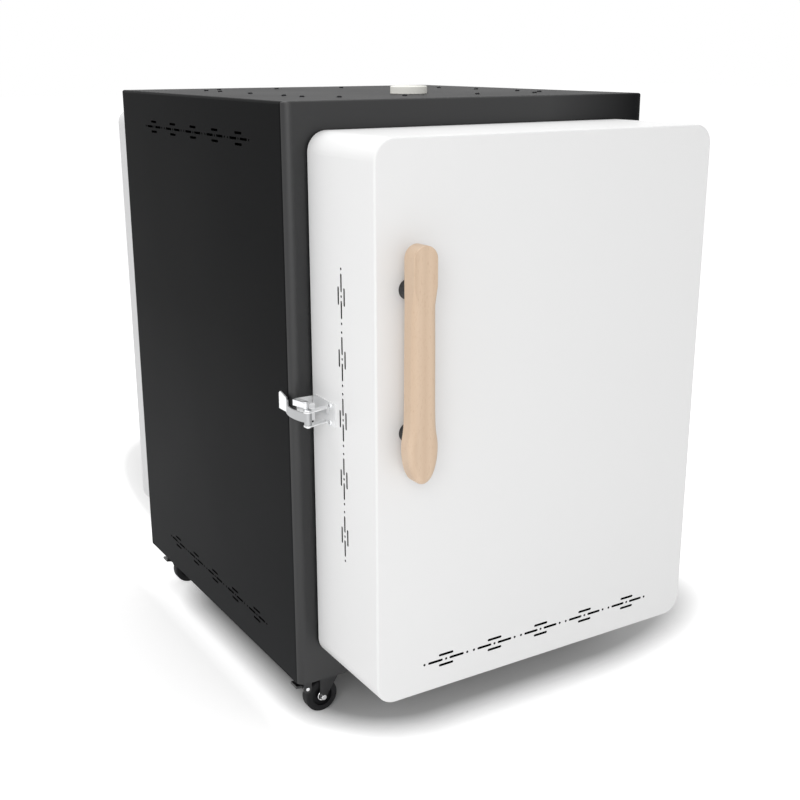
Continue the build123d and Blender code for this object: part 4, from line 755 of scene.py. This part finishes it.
# Floor: a plain pale floor that fades to white around the kiln and far from it. Beneath and behind
# the kiln it keeps its real shadow, and the colour seen there is darkened as well: a painted shadow.
pale, tree, shader, place = start_material("pale_floor", specular=0.0)
shader.inputs["Base Color"].default_value = (0.86, 0.86, 0.86, 1)
shader.inputs["Roughness"].default_value = 0.9
floor_place = coordinates(tree, place)
floor_x, floor_y = floor_place["X"], floor_place["Y"]
to_left = math_node(tree, "MULTIPLY", floor_x, -1.0)
to_right = math_node(tree, "MULTIPLY", floor_x, 0.55)
sideways = math_node(tree, "MAXIMUM", to_left, to_right)
beside = math_node(tree, "MAXIMUM", math_node(tree, "SUBTRACT", sideways, 0.12), 0.0)
lengthways = math_node(tree, "ABSOLUTE", math_node(tree, "ADD", floor_y, 0.055), 0.0)
before = math_node(tree, "MAXIMUM", math_node(tree, "SUBTRACT", lengthways, 0.185), 0.0)
beside_square = math_node(tree, "POWER", beside, 2.0)
before_square = math_node(tree, "POWER", before, 2.0)
from_core = math_node(tree, "SQRT", math_node(tree, "ADD", beside_square, before_square), 0.0)
beyond = math_node(tree, "SUBTRACT", from_core, 0.22)
behind_x = math_node(tree, "POWER", math_node(tree, "DIVIDE", floor_x, 0.28), 2.0)
from_behind = math_node(tree, "SUBTRACT", floor_y, 0.55)
behind_y = math_node(tree, "POWER", math_node(tree, "DIVIDE", from_behind, 0.85), 2.0)
behind = math_node(tree, "SQRT", math_node(tree, "ADD", behind_x, behind_y), 0.0)
# Painted shadow: the colour seen darkens in an oval behind the kiln and in a rounded box beneath it.
painted_behind_shadow = map_range(tree, behind, 0.35, 0.93, 0.46, 0.0)
shade = map_range(tree, beyond, -0.07, 0.0, 0.62, 1.0)
clear_of_painted_shadow = math_node(tree, "SUBTRACT", 1.0, painted_behind_shadow)
seen_shader = node(tree, "ShaderNodeBsdfDiffuse")
tree.links.new(math_node(tree, "MULTIPLY", shade, clear_of_painted_shadow), seen_shader.inputs["Color"])
away = tree.nodes.new("ShaderNodeVectorMath")
away.operation = "LENGTH"
tree.links.new(place, away.inputs[0])
fade = map_range(tree, beyond, -0.07, 0.0, 0.0, 0.5)
left_side = map_range(tree, floor_x, -0.37, -0.30, 0.25, 1.0)
far = map_range(tree, away.outputs["Value"], 0.50, 1.2, 0.0, 0.5)
# The lift stays off inside the painted shadow behind the kiln.
lift_clear_of_shadow = map_range(tree, painted_behind_shadow, 0.0, 0.12, 1.0, 0.0)
near_lift = math_node(tree, "MULTIPLY", fade, left_side)
whole_lift = math_node(tree, "MAXIMUM", near_lift, far)
lift = node(tree, "ShaderNodeEmission")
tree.links.new(math_node(tree, "MULTIPLY", whole_lift, lift_clear_of_shadow), lift.inputs["Strength"])
seen_sum = tree.nodes.new("ShaderNodeAddShader")
tree.links.new(seen_shader.outputs[0], seen_sum.inputs[0])
tree.links.new(lift.outputs[0], seen_sum.inputs[1])


def seen_directly(tree):
    """One for rays of the camera and those seen in or through gloss and glass."""
    path = tree.nodes.new("ShaderNodeLightPath")
    seen = math_node(tree, "MAXIMUM", path.outputs["Is Camera Ray"], path.outputs["Is Glossy Ray"])
    return math_node(tree, "MAXIMUM", seen, path.outputs["Is Transmission Ray"])


mixed = tree.nodes.new("ShaderNodeMixShader")
tree.links.new(seen_directly(tree), mixed.inputs[0])
tree.links.new(shader.outputs[0], mixed.inputs[1])
tree.links.new(seen_sum.outputs[0], mixed.inputs[2])
tree.links.new(mixed.outputs[0], tree.nodes["Material Output"].inputs["Surface"])
floor_shape = bmesh.new()
bmesh.ops.create_grid(floor_shape, x_segments=1, y_segments=1, size=30.0)
floor = finished_piece("floor", floor_shape, pale)

# Studio light: an even pale room, which the camera sees as white, with one broad soft lamp
# overhead and one at the front left.
world = bpy.data.worlds.new("studio")
bpy.context.scene.world = world
world.use_nodes = True
tree = world.node_tree
for old in list(tree.nodes):
    tree.nodes.remove(old)
room = node(tree, "ShaderNodeBackground", in_Strength=0.58)
room.inputs["Color"].default_value = (1, 1, 1, 1)
backdrop = node(tree, "ShaderNodeBackground", in_Strength=1.0)
backdrop.inputs["Color"].default_value = (1, 1, 1, 1)
blend = tree.nodes.new("ShaderNodeMixShader")
world_out = tree.nodes.new("ShaderNodeOutputWorld")
tree.links.new(seen_directly(tree), blend.inputs[0])
tree.links.new(room.outputs[0], blend.inputs[1])
tree.links.new(backdrop.outputs[0], blend.inputs[2])
tree.links.new(blend.outputs[0], world_out.inputs["Surface"])


def soft_lamp(name, place, target, size, power):
    """A square area lamp aimed at a point."""
    light = bpy.data.lights.new(name, "AREA")
    light.size = size
    light.energy = power
    lamp = bpy.data.objects.new(name, light)
    bpy.context.scene.collection.objects.link(lamp)
    aim = (Vector(target) - Vector(place)).to_track_quat("-Z", "Y").to_matrix().to_4x4()
    lamp.matrix_world = Matrix.Translation(Vector(place)) @ aim


soft_lamp("overhead_lamp", (-0.7, 0.6, 3.3), (0, -0.2, 0.4), 2.0, 50.0)
soft_lamp("front_left_lamp", (-2.1, -3.2, 1.9), (-0.1, -0.3, 0.5), 2.4, 53.0)

# Camera: at the photograph's viewpoint, left of the door and a little above the kiln, looking
# slightly down.
camera_data = bpy.data.cameras.new("camera")
camera_data.lens = 52.484
camera_data.sensor_width = 36.0
camera = bpy.data.objects.new("camera", camera_data)
bpy.context.scene.collection.objects.link(camera)
right = Vector((0.85221677, -0.52318678, -0.00147298))
up = Vector((0.14956764, 0.24093028, 0.95894845))
back = Vector((-0.50135427, -0.81745226, 0.28357663))
eye = Vector((-1.05537, -1.82087, 1.03956))
turn = Matrix((right, up, back)).transposed().to_4x4()
camera.matrix_world = Matrix.Translation(eye) @ turn
bpy.context.scene.camera = camera
bpy.context.scene.view_settings.view_transform = "Standard"
